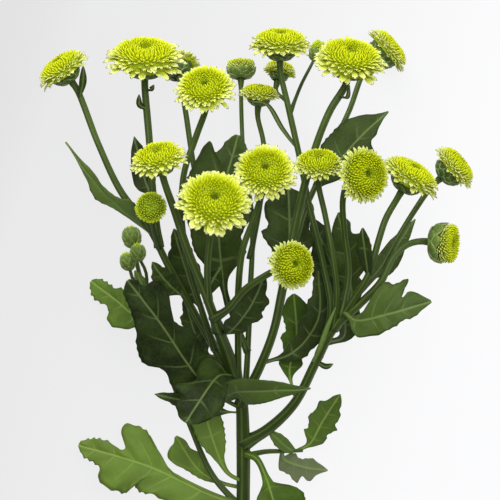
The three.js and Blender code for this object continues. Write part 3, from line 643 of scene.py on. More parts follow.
def floret_places(head):
    """For each floret: its age from 0 in the middle to 1 at the rim, where its tip lies, the
    distance to the next one, and the angle between the head's axis and the dome's normal there.

    The number of florets inside a distance along the dome is the sum of the ring areas there,
    each divided by the square of the spacing. Reading that sum backwards gives each floret's
    distance."""
    fine, length = smooth_path(dome_of(head), DOME_STEPS)
    age = np.linspace(0, 1, DOME_STEPS)
    grown = head["open"] * head["across"] / 2 / FULL_RADIUS
    widest = CENTRE_SPACING + (RAY_SPACING - CENTRE_SPACING) * grown
    spacing = CENTRE_SPACING + (widest - CENTRE_SPACING) * age**LATE_GROWTH
    rings = 2 * np.pi * fine[1:, 0] * length / (DOME_STEPS - 1)
    number = np.concatenate([[0], np.cumsum(rings / spacing[1:]**2)])
    slope = np.gradient(fine, axis=0)
    tilt = np.arctan2(-slope[:, 1], slope[:, 0])
    at = np.interp(np.arange(1, int(number[-1])) + 0.5, number, age)
    values = [np.interp(at, age, v) for v in (fine[:, 0], fine[:, 1], spacing, tilt)]
    return at, np.column_stack(values[:2]), values[2], values[3]


print("florets of the largest head:", len(floret_places(HEADS["head_02"])[0]),
      "of the button:", len(floret_places(HEADS["head_12"])[0]))

# %% [markdown]
# Each floret is a plate bent along a curve from its root, on the small dome of the receptacle, to
# its tip. The curve is a parabola, and the way it ends says what the floret looks like. A young
# floret ends leaning in over its younger neighbours, so from above one sees the row of rounded
# backs that makes a pompon. A ray ends level, or droops. Across its length the plate is rolled to
# an arc, nearly a half pipe for a young floret and almost flat for a ray.

# %% The shape of the florets
RECEPTACLE = dict(radius=0.42, height=0.2)  # shares of the head's radius and height
CORE_SHARE = (0.74, 0.8)  # of the dome's width and height, the core that fills it
CORE_RINGS = 13
CORE_SIDES = 24
PETAL_THICKNESS = 0.26  # mm in the middle of a petal
# How far a floret ends outwards of the dome's normal, in radians: its age, in an open head, in a
# button and in a head that is held by a deep cup.
LEAN = np.array([(0, 0, 0, -0.3), (0.1, -0.1, -0.6, -0.5), (0.2, -0.7, -0.9, -0.5),
                 (0.4, -0.6, -0.95, -0.4), (0.55, -0.1, -0.95, -0.5), (0.72, 0.4, -0.8, -0.9),
                 (0.85, 0.6, -0.2, -1.1), (1, 0.6, 0.4, -1.2)])
RAY_LEVEL = (1.3, 1.9)  # how far from the axis rays end, in radians, the inner and outer rows
TIP_HOLD = 0.52  # how far back from the tip a floret already has its last direction, of its chord
RAYS_FROM = 1.08  # the age from which florets would be rays in a head that is closed
RAYS_EARLIER = 0.34  # how much earlier they are in one that is fully open
ROLL = (1.3, 0.55)  # half angle of the arc across a floret, in radians: a young one and a ray
SCATTER = (0.16, 0.1)  # how far tips stray, of the spacing: young ones, and what a ray adds
RAY_DROOP = (-0.15, 0.07)  # how low and how high a ray's tip may lie, of the head's radius
HALF_WIDTH = (0.6, -0.03)  # half a floret's width, of the spacing: young ones, and what a ray adds
UNEVEN = dict(width=0.15, roll=0.15, twist=0.3, bend=0.1, turn=0.22)  # how uneven florets are
SPOON = dict(stations=np.array([0, 0.6, 0.87, 1.0]), lobes=np.zeros(5))
RAY = dict(stations=np.array([0, 0.35, 0.6, 0.78, 0.9, 0.97, 1.0]),
           lobes=np.array([-0.06, 0.03, -0.03, 0.04, -0.045]))  # how far past the tip, of its length


def floret_line(head, age, tip, tilt, ray, stations, draw):
    """The middle line of each floret in its own plane, and its direction there.

    A parabola from the root to the tip whose middle control point lies TIP_HOLD of the chord
    back from the tip, along the way in which the floret ends."""
    radius = head["across"] / 2
    root = np.column_stack([age * RECEPTACLE["radius"],
                            RECEPTACLE["height"] * head["rise"] * (1 - 0.9 * age**2)]) * radius
    chord = np.linalg.norm(tip - root, axis=1)[:, None]
    level = RAY_LEVEL[0] + (RAY_LEVEL[1] - RAY_LEVEL[0]) * smoothstep(0.75, 1, age)
    in_open, in_button, in_cup = (np.interp(age, LEAN[:, 0], LEAN[:, k]) for k in (1, 2, 3))
    looseness = smoothstep(0.3, 0.9, head["open"])
    lean = in_open * looseness + in_button * (1 - looseness)
    folded = tilt + (in_cup if head["cup"] is DEEP_CUP else lean)
    ends = folded * (1 - ray) + level * ray + draw.uniform(-1, 1, len(age)) * (0.1 + 0.22 * ray)
    bend = tip - TIP_HOLD * chord * np.column_stack([np.sin(ends), np.cos(ends)])
    s = stations[None, :, None]
    root, bend, tip = root[:, None], bend[:, None], tip[:, None]
    line = (1 - s)**2 * root + 2 * s * (1 - s) * bend + s**2 * tip
    return line, unit((1 - s) * (bend - root) + s * (tip - bend)), chord[:, :, None]


def florets_part(head, chosen, kind, seed):
    """Closed plates for the chosen florets of a head, which are spoons or rays.

    The section at a station is an arc of half width w and half angle k: sideways w sin(kt)/k and
    inwards w (1 - cos(kt))/k for t from -1 to 1. The half width is w (0.4 + 0.6 s), rounded off
    at the tip by the root of 1 - 0.95 s^p."""
    draw = np.random.default_rng(seed)
    order = np.flatnonzero(chosen)
    age, tip, spacing, tilt = (values[chosen] for values in floret_places(head))
    count, columns = len(age), len(kind["lobes"])
    ray = smoothstep(0.66, 0.84, age) * head["open"]
    tip = tip + draw.uniform(-1, 1, (count, 2)) * (spacing * (SCATTER[0] + SCATTER[1] * ray))[:, None]
    tip[:, 1] += draw.uniform(*RAY_DROOP, count) * ray * head["across"] / 2
    line, run, chord = floret_line(head, age, tip, tilt, ray, kind["stations"], draw)
    inwards = np.stack([-run[..., 1], run[..., 0]], axis=-1)

    s, t = kind["stations"][None, :, None], np.linspace(-1, 1, columns)[None, None, :]
    random = draw.uniform(-1, 1, (5, count, 1, 1))
    ray = ray[:, None, None]
    loose = 0.4 + 0.6 * ray  # how far a floret strays from its even shape
    half = spacing[:, None, None] * (HALF_WIDTH[0] + HALF_WIDTH[1] * ray)
    half = half * (1 + UNEVEN["width"] * random[0] * loose)
    half = half * (0.4 + 0.6 * s) * np.sqrt(1 - 0.95 * s**(6 + 7 * ray))
    roll = ROLL[0] * (1 - ray) + ROLL[1] * ray + UNEVEN["roll"] * random[1]
    sideways = half * np.sin(roll * t) / roll
    rise = half * (1 - np.cos(roll * t)) / roll + sideways * random[2] * UNEVEN["twist"] * s * loose
    sideways = sideways + random[3] * UNEVEN["bend"] * chord * s**2 * loose
    reach = kind["lobes"] * chord * s**10
    thick = PETAL_THICKNESS / 2 * (1 - 0.6 * t**2)

    first, second, axis = axes_of(head["faces"])
    astray = UNEVEN["turn"] * random[4] * (spacing / np.maximum(tip[:, 0], 1))[:, None, None]
    turned = (order[:, None, None] * GOLDEN_ANGLE + astray)[..., None]
    radial = np.cos(turned) * first + np.sin(turned) * second
    tangent = np.cos(turned) * second - np.sin(turned) * first
    grids = []
    for face in (-1, 1):
        across = rise + face * thick
        out = line[..., 0:1] + inwards[..., 0:1] * across + run[..., 0:1] * reach
        high = line[..., 1:2] + inwards[..., 1:2] * across + run[..., 1:2] * reach
        grids.append(out[..., None] * radial + sideways[..., None] * tangent + high[..., None] * axis)
    places = np.array(head["at"]) + np.stack(grids, axis=1)
    unripe = 0.5 * draw.uniform(0, 1, count) + 0.5 * (1 - head["open"])
    return plates_part(places, along=s, edge=np.abs(t), age=age[:, None, None, None],
                       unripe=unripe[:, None, None, None])


def core_part(head):
    """A closed dome under the florets, so that the gaps between them show green and not the table.

    It is the tips' dome drawn in to CORE_SHARE of its width and height, turned round the axis."""
    out, up = (smooth_path(dome_of(head), CORE_RINGS + 1)[0] * CORE_SHARE)[::-1].T
    age = np.concatenate([np.repeat(np.linspace(1, 0.08, CORE_RINGS), CORE_SIDES), [1, 0]])
    # Its colour, taken from the darker part of the florets' ramp, is painted shade for the deep gaps
    # between the florets.
    return turned_part(head["at"], head["faces"], out[:-1], up[:-1], up[[0, -1]], CORE_SIDES,
                       along=0.45, edge=0.0, age=age, unripe=0.5)


def head_parts(head, seed):
    """Everything lime in one head: folded spoons, rays with finer tips, and the core."""
    age = floret_places(head)[0]
    is_ray = age > RAYS_FROM - RAYS_EARLIER * head["open"]
    parts = [florets_part(head, ~is_ray, SPOON, seed), core_part(head)]
    if is_ray.any():
        parts.append(florets_part(head, is_ray, RAY, seed + 1))
    return parts


for order, (name, head) in enumerate(HEADS.items()):
    material = BUTTON if head["open"] < 0.1 else FLORET
    make_piece("florets_of_" + name, head_parts(head, 100 + 10 * order), material, "florets", [name])
print("triangles of the florets:", slots_used["florets"])

# %% [markdown]
# ## Cups
#
# Under each head sits the involucre: a shallow bowl covered by three rows of overlapping scales.
# The outer rows are short and the inner row reaches up behind the rays. A plain bowl with a bump
# pattern would do from afar, but in a side view the scales' edges show against the light, so each
# scale is a plate of its own.

# %% Bowls and their scales
NECK_RADIUS = 1.7  # mm, a stalk where it widens into the cup
# Rows of scales: the shares of the bowl's curve from and to, how many, and how uneven their ends.
# Widen is a scale's width as a share of its room in the row, and pale is how far its green has
# faded. The scales of a deep cup reach past its rim and wrap the florets.
CUP_SCALES = dict(rows=((0.12, 0.6, 8, 0.04), (0.32, 0.8, 10, 0.04), (0.52, 1.04, 12, 0.04)),
                  widen=1.35, pale=0.0)
DEEP_SCALES = dict(rows=((0.1, 0.6, 6, 0.08), (0.25, 0.9, 8, 0.12), (0.5, 1.25, 9, 0.3)),
                   widen=1.15, pale=0.4)
BOWL_SHARE = 0.88  # of the cup's width, the bowl that the scales lie on
BOWL_RINGS = 7
BOWL_SIDES = 20
SCALE_THICKNESS = 0.3  # mm
ROW_LIFT = 0.14  # mm that a row of scales lies over the next row in
NEIGHBOUR_LIFT = 0.2  # mm that every second scale lies over its neighbours
ROOT_LIFT = 0.12  # mm between a scale's root and the bowl
TIP_LIFT = 0.25  # mm that its tip stands off further
EDGE_DROP = 0.2  # mm that its side edges lie lower than its middle


def bowl_curve(share, neck, rim, depth):
    """A quarter of an ellipse: distance from the axis and height for a share from neck to rim.

    Past the rim it goes straight up at the same pace."""
    angle = np.minimum(share, 1) * np.pi / 2
    above = np.maximum(share - 1, 0) * depth * np.pi / 2
    return neck + (rim - neck) * np.sin(angle), above - depth * np.cos(angle)


def scales_part(at, faces, curve, kind, seed):
    """Rows of pointed scales on a surface of revolution.

    A scale follows the curve from one share to another and is drawn to a point. Its tip stands
    off further than its root, an outer row lies on the next one, and every second scale of a row
    lies on its two neighbours."""
    draw = np.random.default_rng(seed)
    first, second, axis = axes_of(faces)
    stations = np.linspace(0, 1, 7)[None, :, None]
    across = np.linspace(-1, 1, 5)[None, None, :]
    plates = []
    for row, (low, high, count, ragged) in enumerate(kind["rows"]):
        angle = (np.arange(count) + 0.5 * row) * 2 * np.pi / count + draw.uniform(-0.08, 0.08, count)
        angle = angle[:, None, None]
        end = high + draw.uniform(-ragged, ragged, count)[:, None, None]
        share = low + (end - low) * stations
        out, up = curve(share)
        ahead, ahead_up = curve(share + 0.02)
        run = unit(np.stack([ahead - out, ahead_up - up], axis=-1))
        normal = np.stack([run[..., 1], -run[..., 0]], axis=-1)
        half = kind["widen"] * np.pi * curve(np.array(0.5 * (low + high)))[0] / count
        half = half * (np.sin(np.pi * (0.2 + 0.8 * stations)**1.3) + 0.08)
        second_ones = (np.arange(count) % 2)[:, None, None]
        outer = ROW_LIFT * (len(kind["rows"]) - 1 - row) + NEIGHBOUR_LIFT * second_ones
        lift = ROOT_LIFT + outer + TIP_LIFT * stations**2 - EDGE_DROP * across**2
        grids = []
        for face in (1, -1):
            off = lift + face * SCALE_THICKNESS * (1 - 0.5 * across**2) / 2
            r = out + normal[..., 0] * off
            z = up + normal[..., 1] * off
            turned = angle + half * across / np.maximum(r, 0.5)
            radial = np.cos(turned)[..., None] * first + np.sin(turned)[..., None] * second
            grids.append(np.array(at) + r[..., None] * radial + z[..., None] * axis)
        plates.append(np.stack(grids, axis=1))
    return plates_part(np.concatenate(plates), along=stations, edge=np.abs(across),
                       pale=kind["pale"])


def cup_parts(head, seed):
    """The bowl and the scales of one head's cup."""
    at, faces = head["at"], head["faces"]
    rim = BOWL_SHARE * head["cup"]["width"] * head["across"] / 2
    depth = head["cup"]["depth"] * head["across"]
    kind = DEEP_SCALES if head["cup"] is DEEP_CUP else CUP_SCALES
    out, up = bowl_curve(np.linspace(0, 1, BOWL_RINGS), NECK_RADIUS, rim, depth)
    bowl = turned_part(at, faces, out, up, up[[0, -1]], BOWL_SIDES, along=0.3, edge=0.0,
                       pale=kind["pale"])
    scales = scales_part(at, faces, lambda share: bowl_curve(share, NECK_RADIUS, rim, depth), kind,
                         seed)
    return [bowl, scales]


for order, (name, head) in enumerate(HEADS.items()):
    make_piece("cup_of_" + name, cup_parts(head, 400 + order), SCALE, "stem")
print("triangles on the stem slot so far:", slots_used["stem"])

# %% [markdown]
# ## Stalks
#
# Each shoot is a few runs of stalk that fork from each other. A run starts on the middle line of
# the stalk that it grows from, so the join is hidden inside, and it flares there, as a real fork
# does. A run that carries a head goes on into its cup.

# %% The shoots
SHOOTS = {
    "main_stem": dict(
        runs=[
            dict(route=[(-4, -182, 3.5), (-4, -137, 16), (-3, -109, 25), (-3, -81, 34), (-4, -62, 44),
                        (-8, -48, 55), (-13, -33, 74)], radius=(3.7, 2.6)),
            dict(route=[(-13, -33, 74), (-18, -18, 88), (-25, 0, 97), (-30, 15, 99)],
                 radius=(2.1, 1.4), head="head_11"),
            dict(route=[(-17, -21, 85), (-17, -6, 99)], radius=(1.5, 1.4), head="head_13"),
            dict(route=[(-15, -28, 79), (-9, -24, 88), (-1, -15, 97)], radius=(1.7, 1.3),
                 head="head_20"),
            dict(route=[(-5, -56, 48), (-5, -40, 62), (-5, -20, 73), (-3, 0, 78), (2, 14, 81)],
                 radius=(1.5, 1.3), head="head_14"),
        ],
        bracts=[dict(rib=[(-18, -18, 88), (-15, -12, 91), (-12, -7, 93)], across=7,
                     faces=(0.1, -0.2, 0.95), tone=0.0)]),
    "shoot_left": dict(
        runs=[
            dict(route=[(-4, -62, 44), (-15, -42, 49), (-26, -22, 56), (-35, -5, 62), (-42, 9, 66),
                        (-53.7, 24.3, 68), (-63, 44, 69)], radius=(1.8, 1.3), head="head_01"),
            dict(route=[(-38, 1, 64), (-40.3, 22, 66), (-42, 46, 66)], radius=(1.6, 1.5),
                 head="head_02"),
            dict(route=[(-38, 1, 64), (-40, 9, 74)], radius=(1.1, 1.1), head="head_12"),
            dict(route=[(-15, -42, 49), (-20, -26, 62), (-25, -8, 72), (-28, 12, 79), (-27, 31, 83),
                        (-22, 46, 86)], radius=(1.4, 1.3), head="head_04"),
        ],
        bracts=[dict(rib=[(-71, 64, 68), (-69.5, 69, 71), (-69, 76, 73)], across=3.5,
                     faces=(0.6, -0.3, 0.7)),
                dict(rib=[(-43, 59, 66), (-46, 60.5, 69), (-46, 64.5, 70.5)], across=2.5,
                     faces=(0.5, -0.3, 0.8)),
                dict(rib=[(-42.5, 66.5, 67), (-41, 67, 69), (-39.8, 68.5, 70)], across=2,
                     faces=(0.5, 0.3, 0.8))]),
    "shoot_back": dict(
        runs=[
            dict(route=[(-3, -76, 36), (-1, -44, 36), (0, -20, 34), (1, 12, 26), (-3, 44, 17)],
                 radius=(1.5, 0.9), head="head_06"),
            dict(route=[(0, -4, 30), (5, 24, 27), (6, 46, 25)], radius=(1.2, 1.1), head="head_08"),
            dict(route=[(-1, -44, 36), (-9, -24, 38), (-18, 4, 36), (-24.5, 37, 32), (-28, 60, 30)],
                 radius=(1.3, 1.2), head="head_03"),
        ]),
    "shoot_centre": dict(
        runs=[
            dict(route=[(-4, -66, 42), (4, -50, 51), (10, -34, 56), (14, -15, 58), (20, 15, 62),
                        (27, 42, 67), (33.3, 58, 69.3)], radius=(2.1, 1.5), head="head_09"),
            dict(route=[(16, -4, 59), (20, 6, 52), (23, 16, 44), (28, 27, 37), (36, 45, 27),
                        (44, 62, 17)], radius=(1.4, 1.2), head="head_10"),
        ],
        bracts=[dict(rib=[(37, 64, 70), (40, 63, 74), (41, 68, 75)], across=2,
                     faces=(0.5, -0.4, 0.7))]),
    "shoot_right": dict(
        runs=[
            dict(route=[(-3, -84, 33), (7.5, -77.5, 37), (19, -65.5, 45), (28, -47, 55), (35, -33, 64),
                        (46, -22, 70.5), (54, -13.5, 72), (59, -3.5, 71.5), (64.5, 1.8, 70.5)],
                 radius=(2.5, 1.3), head="head_19"),
            dict(route=[(35, -33, 64), (42, -22, 70), (49, -10, 75), (53, 4, 76), (56, 13, 76)],
                 radius=(1.7, 1.3), head="head_17"),
            dict(route=[(45, -17, 72), (54, -8, 70), (60.5, 3, 65.5), (69.5, 17, 59)],
                 radius=(1.3, 1.2), head="head_18"),
            dict(route=[(35, -33, 64), (36, -18, 71), (34, -2, 76), (31, 14, 77)],
                 radius=(1.3, 1.2), head="head_15"),
            dict(route=[(38, -28, 67), (41, -10, 69), (39, 8, 74), (38, 21, 83)],
                 radius=(1.4, 1.3), head="head_16"),
        ],
        bracts=[dict(rib=[(49, -10, 75), (48, -5, 79), (47, 1, 82), (46, 9, 84)], across=7.5,
                     faces=(-0.6, -0.1, 0.8)),
                dict(rib=[(28, -47, 55), (32, -49, 57), (35, -48, 58)], across=2.5,
                     faces=(0, -0.3, 0.9)),
                dict(rib=[(26.5, -48, 55), (29, -42, 61), (32, -33, 66), (35.5, -24, 70)], across=2.2,
                     faces=(-0.3, 0.1, 0.9), tone=1.0)]),
    "shoot_right_back": dict(
        runs=[
            dict(route=[(29, -45, 56), (34, -26, 58), (31, -6, 53), (25, 20, 48), (21, 40, 48),
                        (16, 62, 50)], radius=(1.5, 1.3), head="head_05"),
            dict(route=[(21, 40, 48), (19, 53, 35), (16, 65, 22)], radius=(1, 0.9), head="head_07"),
            dict(route=[(17, 58, 50), (22, 71, 40), (27, 81, 33)], radius=(0.8, 0.7),
                 bud=dict(at=(29, 86, 29), faces=(0.3, 0.9, 0.1), across=6.4, tuft=1.1)),
        ],
        bracts=[dict(rib=[(21, 42, 48), (14, 52, 42), (7, 63, 38), (1, 64, 37)], across=2,
                     faces=(0, -0.3, 0.9))]),
    "shoot_buds": dict(
        runs=[
            dict(route=[(-4, -113, 24), (-16.5, -98.5, 24), (-26.5, -76.5, 22), (-37, -50, 18),
                        (-44.5, -26, 13), (-50, -8, 7.5)], radius=(1.4, 1),
                 bud=dict(at=(-53, 6, 4.3), faces=(-0.2, 0.95, -0.1), across=8.6, tuft=0.66)),
            dict(route=[(-47, -18, 10.5), (-52, -13, 11)], radius=(0.8, 0.7),
                 bud=dict(at=(-54.3, -5, 11.5), faces=(-0.3, 0.95, 0.1), across=7, tuft=0.7)),
            dict(route=[(-46, -21, 11.5), (-46, -10, 15)], radius=(0.8, 0.7),
                 bud=dict(at=(-49.5, -1, 17.5), faces=(-0.1, 0.95, 0.2), across=7, tuft=0.7)),
        ],
        bracts=[dict(rib=[(-46, -20, 12.5), (-48, -15, 15), (-51, -9, 15)], across=4.5,
                     faces=(0.3, 0, 0.95), tone=0.8)]),
    "shoot_low_right": dict(
        runs=[dict(route=[(-3, -90, 31), (6, -88, 28), (15, -88, 25), (23, -88, 22)],
                   radius=(1.2, 0.8))],
        bracts=[dict(rib=[(19, -88, 23.5), (15.5, -85.5, 28), (11.5, -81.5, 31), (8, -78.5, 31)],
                     across=6, faces=(0, 0.1, 0.98), tone=0.8)]),
}
print("shoots:", len(SHOOTS), "runs:", sum(len(shoot["runs"]) for shoot in SHOOTS.values()))

# %% [markdown]
# A run's ring of points is a circle with six low ribs: its radius is r (1 + h (cos 6a - 1) / 2)
# for ribs of height h. The ribs keep their place all along the run, so they read as lines. The
# run's last stretch widens into the cup, and its first stretch into the fork.

# %% Stalks along their runs
RIBS = 6
RIB_HEIGHT = 0.07  # of the stalk's radius
STALK_SIDES = 18
RING_STEP = 2.2  # mm between rings
NECK_LENGTH = 5  # mm of straight stalk below a cup
FORK_FLARE = 0.45  # how much wider a run is where it leaves its parent
FORK_LENGTH = 5.0  # mm over which the flare fades
NECK_FADE = 4.0  # mm over which the widening into the cup fades
SWAY = 0.03  # of the radius, how far a stalk is out of round
SWAY_LENGTH = 7.0  # mm along a stalk for each radian that this turns


def run_points(run):
    """A run's route, with the points that lead it straight into its cup or bud."""
    points = [np.array(p, float) for p in run["route"]]
    if "head" in run:
        head = HEADS[run["head"]]
        depth = head["cup"]["depth"] * head["across"]
        back = -unit(head["faces"])
        points.append(head["at"] + back * (depth + NECK_LENGTH))
        points.append(head["at"] + back * 0.8 * depth)
    if "bud" in run:
        bud = run["bud"]
        points.append(bud["at"] - unit(bud["faces"]) * 0.3 * bud["across"])
    return points


def stalk_part(run, is_main):
    """A ribbed tube along a run, with the share of its length and the height of its ribs."""
    _, length = smooth_path(run_points(run), 2)
    rings = max(6, int(length / RING_STEP))
    path, length = smooth_path(run_points(run), rings)
    tangent = unit(np.gradient(path, axis=0))
    normal = square_to(tangent, SEAM_SIDE)
    side = np.cross(normal, tangent)
    share = np.linspace(0, 1, rings)[:, None]
    along = share * length
    radius = run["radius"][0] + (run["radius"][1] - run["radius"][0]) * share
    if not is_main:
        radius = radius * (1 + FORK_FLARE * np.exp(-(along / FORK_LENGTH)**2))
    if "head" in run:
        widening = np.exp(-((length - along) / NECK_FADE)**2)
        radius = radius + (NECK_RADIUS - run["radius"][1]) * widening
    around = np.linspace(0, 2 * np.pi, STALK_SIDES, endpoint=False)[None, :]
    sway = SWAY * np.sin(along / SWAY_LENGTH + 2 * around)
    rib = np.broadcast_to(np.cos(RIBS * around), sway.shape)
    reach = (radius * (1 + RIB_HEIGHT * (rib - 1) / 2 + sway))[..., None]
    ring = np.cos(around)[..., None] * side[:, None] + np.sin(around)[..., None] * normal[:, None]
    points = (path[:, None] + reach * ring).reshape(-1, 3)
    points = np.concatenate([points, path[:1], path[-1:]])
    rib_value = np.concatenate([((rib + 1) / 2).ravel(), [0.5, 0.5]])
    far = np.concatenate([np.repeat(share[:, 0] * (0.3 if is_main else 1), STALK_SIDES), [0, 1]])
    return part(points, tube_faces(rings, STALK_SIDES), rib=rib_value, far=far)


for name, shoot in SHOOTS.items():
    stalks = [stalk_part(run, name == "main_stem" and order == 0)
              for order, run in enumerate(shoot["runs"])]
    make_piece("stalks_of_" + name, stalks, STEM, "stem", [name])
print("triangles on the stem slot so far:", slots_used["stem"])

# %% [markdown]
# The main stem ends in a clean cut. The cut face is a disc of rings: the pith in the middle is
# sunk a little, and the ring of wood round it stands proud.

# %% The cut end of the stem
CUT_SIDES = 36
SKIN_HEIGHT = 0.02  # mm in front of the stem's first ring, at the green skin
WOOD_HEIGHT = 0.12  # the same at the ring of wood
PITH_DEPTH = 0.3  # mm from there down to the pith
DISC_DEPTH = 0.4  # mm that the disc reaches into the stem


def cut_end_part():
    """A closed thin disc in front of the stem's first ring, lowered in the middle."""
    run = SHOOTS["main_stem"]["runs"][0]
    path, _ = smooth_path(run_points(run), 60)
    face = np.linspace(0.96, 0.08, 9)
    out = np.concatenate([[0.985, 1.0], face])
    face_lift = WOOD_HEIGHT - PITH_DEPTH * (1 - smoothstep(0.3, 0.6, face))
    lift = np.concatenate([[-DISC_DEPTH, SKIN_HEIGHT], face_lift])
    ends = (-DISC_DEPTH, WOOD_HEIGHT - PITH_DEPTH)
    field_out = np.concatenate([np.repeat(out, CUT_SIDES), [1.0, 0.0]])
    return turned_part(path[0], path[0] - path[1], out * run["radius"][0], lift, ends, CUT_SIDES,
                       out=field_out)


make_piece("cut_end_of_main_stem", [cut_end_part()], CUT, "stem")

# %% [markdown]
# ## Buds
#
# A bud is a ball of scales in four rows, just open enough to show the first green florets. It
# uses the same scales as the cups, on the curve of a ball, and the same florets as the button.

# %% The closed buds
BUD_SCALES = dict(rows=((0.06, 0.36, 7, 0.04), (0.2, 0.54, 9, 0.04), (0.36, 0.68, 9, 0.04),
                        (0.5, 0.8, 9, 0.04)), widen=1.3, pale=0.5)
BALL_LENGTH = 1.2  # of its width
BALL_RINGS = 9
BALL_SIDES = 16
SCALES_DEPTH = 0.5  # mm of a bud's radius that its scales take up
TUFT_START = 0.16  # of a bud's width from its middle, where its florets begin
TUFT_RISE = 1.3  # height of the tuft of florets, of its radius


def ball_curve(share, radius):
    """A drawn out ball: distance from the axis and height, for a share from base to tip."""
    return radius * np.sin(share * np.pi), -BALL_LENGTH * radius * np.cos(share * np.pi)


def bud_parts(bud, seed):
    """The ball inside a bud and the scales on it."""
    radius = bud["across"] / 2 - SCALES_DEPTH
    out, up = ball_curve(np.linspace(0.03, 0.93, BALL_RINGS), radius)
    ball = turned_part(bud["at"], bud["faces"], out, up, up[[0, -1]], BALL_SIDES, along=0.9,
                       edge=0.2, pale=BUD_SCALES["pale"])
    scales = scales_part(bud["at"], bud["faces"], lambda share: ball_curve(share, radius),
                         BUD_SCALES, seed)
    return [ball, scales]


buds = [run["bud"] for shoot in SHOOTS.values() for run in shoot["runs"] if "bud" in run]
for number, bud in enumerate(buds, 1):
    make_piece(f"bud_{number}", bud_parts(bud, 500 + number), SCALE, "stem")
    opening = np.array(bud["at"]) + unit(bud["faces"]) * TUFT_START * bud["across"]
    tuft = dict(at=opening, faces=bud["faces"], across=bud["tuft"] * bud["across"],
                rise=TUFT_RISE, open=0, cup=CUP)
    make_piece(f"first_florets_of_bud_{number}", head_parts(tuft, 520 + 10 * number), BUTTON, "stem")
print("buds:", len(buds))

# %% [markdown]
# ## Leaves
#
# A chrysanthemum leaf has rounded lobes with a side vein to the tip of each. Its outline is a
# list of stations: where the vein leaves the midrib, where it meets the edge, and the half width
# there. No real leaf is the same on both sides, so a station can have five numbers, with the left
# edge's two before the right edge's two. The same smooth curve as before goes through each edge's
# stations, which rounds both the lobes and the bays between them. Points between rib and edge run
# along the veins, so a lobe leans forward as it does on the plant, and the veins' pattern can
# simply count stations.

# %% Leaf outlines and places
LOBED = [(0, 0, 0.05), (0.2, 0.2, 0.06), (0.28, 0.33, 0.3), (0.35, 0.38, 0.16), (0.43, 0.55, 0.5),
         (0.54, 0.58, 0.24), (0.64, 0.76, 0.42), (0.75, 0.79, 0.2), (0.86, 0.9, 0.16), (1, 1, 0.02)]
TOOTHED = [(0, 0, 0.06), (0.15, 0.15, 0.08), (0.28, 0.32, 0.38), (0.38, 0.4, 0.33),
           (0.48, 0.55, 0.5), (0.58, 0.61, 0.4), (0.68, 0.76, 0.41), (0.79, 0.81, 0.27),
           (0.89, 0.92, 0.17), (1, 1, 0.02)]
ROUNDED = [(0, 0, 0.05), (0.18, 0.18, 0.07), (0.3, 0.32, 0.34), (0.39, 0.42, 0.3),
           (0.48, 0.58, 0.5), (0.6, 0.65, 0.36), (0.72, 0.83, 0.42), (0.86, 0.95, 0.22), (1, 1, 0.04)]
PLAIN = [(0, 0, 0.2), (0.3, 0.3, 0.42), (0.62, 0.62, 0.5), (0.86, 0.86, 0.28), (1, 1, 0.05)]
LONG_TIPPED = [(0, 0, 0.06), (0.14, 0.15, 0.07, 0.15, 0.11), (0.22, 0.3, 0.12, 0.28, 0.4),
               (0.3, 0.4, 0.2, 0.38, 0.58), (0.42, 0.51, 0.38, 0.45, 0.26),
               (0.5, 0.6, 0.3, 0.58, 0.16), (0.62, 0.7, 0.17, 0.7, 0.2), (0.76, 0.8, 0.09, 0.8, 0.12),
               (0.88, 0.9, 0.04, 0.9, 0.045), (1, 1, 0.012)]
TWO_HUMPED = [(0, 0, 0.05), (0.18, 0.18, 0.07), (0.3, 0.34, 0.36, 0.32, 0.34),
              (0.39, 0.45, 0.42, 0.42, 0.32), (0.48, 0.6, 0.52, 0.58, 0.5),
              (0.6, 0.72, 0.5, 0.66, 0.38), (0.72, 0.93, 0.38, 0.83, 0.38),
              (0.8, 0.875, 0.24, 0.88, 0.28), (0.88, 0.95, 0.15, 0.93, 0.2), (1, 1, 0.04)]
SHORT_TIPPED = [(0, 0, 0.08), (0.1, 0.1, 0.2, 0.1, 0.15), (0.2, 0.3, 0.62, 0.3, 0.45),
                (0.3, 0.4, 0.68, 0.42, 0.5), (0.38, 0.52, 0.66, 0.57, 0.64),
                (0.5, 0.62, 0.58, 0.64, 0.32), (0.6, 0.79, 0.46, 0.72, 0.25),
                (0.74, 0.86, 0.27, 0.82, 0.16), (0.86, 0.93, 0.13, 0.92, 0.06), (1, 1, 0.02)]
DEEP_NOTCHED = [(0, 0, 0.05), (0.15, 0.18, 0.06), (0.24, 0.32, 0.14, 0.28, 0.25),
                (0.32, 0.45, 0.29, 0.38, 0.27), (0.42, 0.64, 0.49, 0.5, 0.28),
                (0.48, 0.71, 0.44, 0.56, 0.25), (0.54, 0.86, 0.47, 0.63, 0.21),
                (0.62, 0.75, 0.2, 0.7, 0.15), (0.72, 0.84, 0.24, 0.79, 0.16),
                (0.86, 0.93, 0.13, 0.9, 0.09), (1, 1, 0.02)]
BROAD_LEFT = [(0, 0, 0.05), (0.14, 0.16, 0.06), (0.26, 0.34, 0.5, 0.36, 0.38),
              (0.34, 0.47, 0.48, 0.48, 0.44), (0.42, 0.565, 0.72, 0.56, 0.45),
              (0.5, 0.67, 0.61, 0.68, 0.23), (0.58, 0.756, 0.43, 0.76, 0.36),
              (0.66, 0.82, 0.37, 0.86, 0.5), (0.74, 0.87, 0.31, 0.915, 0.44),
              (0.82, 0.91, 0.27, 0.925, 0.17), (0.9, 0.965, 0.19, 0.97, 0.14), (1, 1, 0.03)]
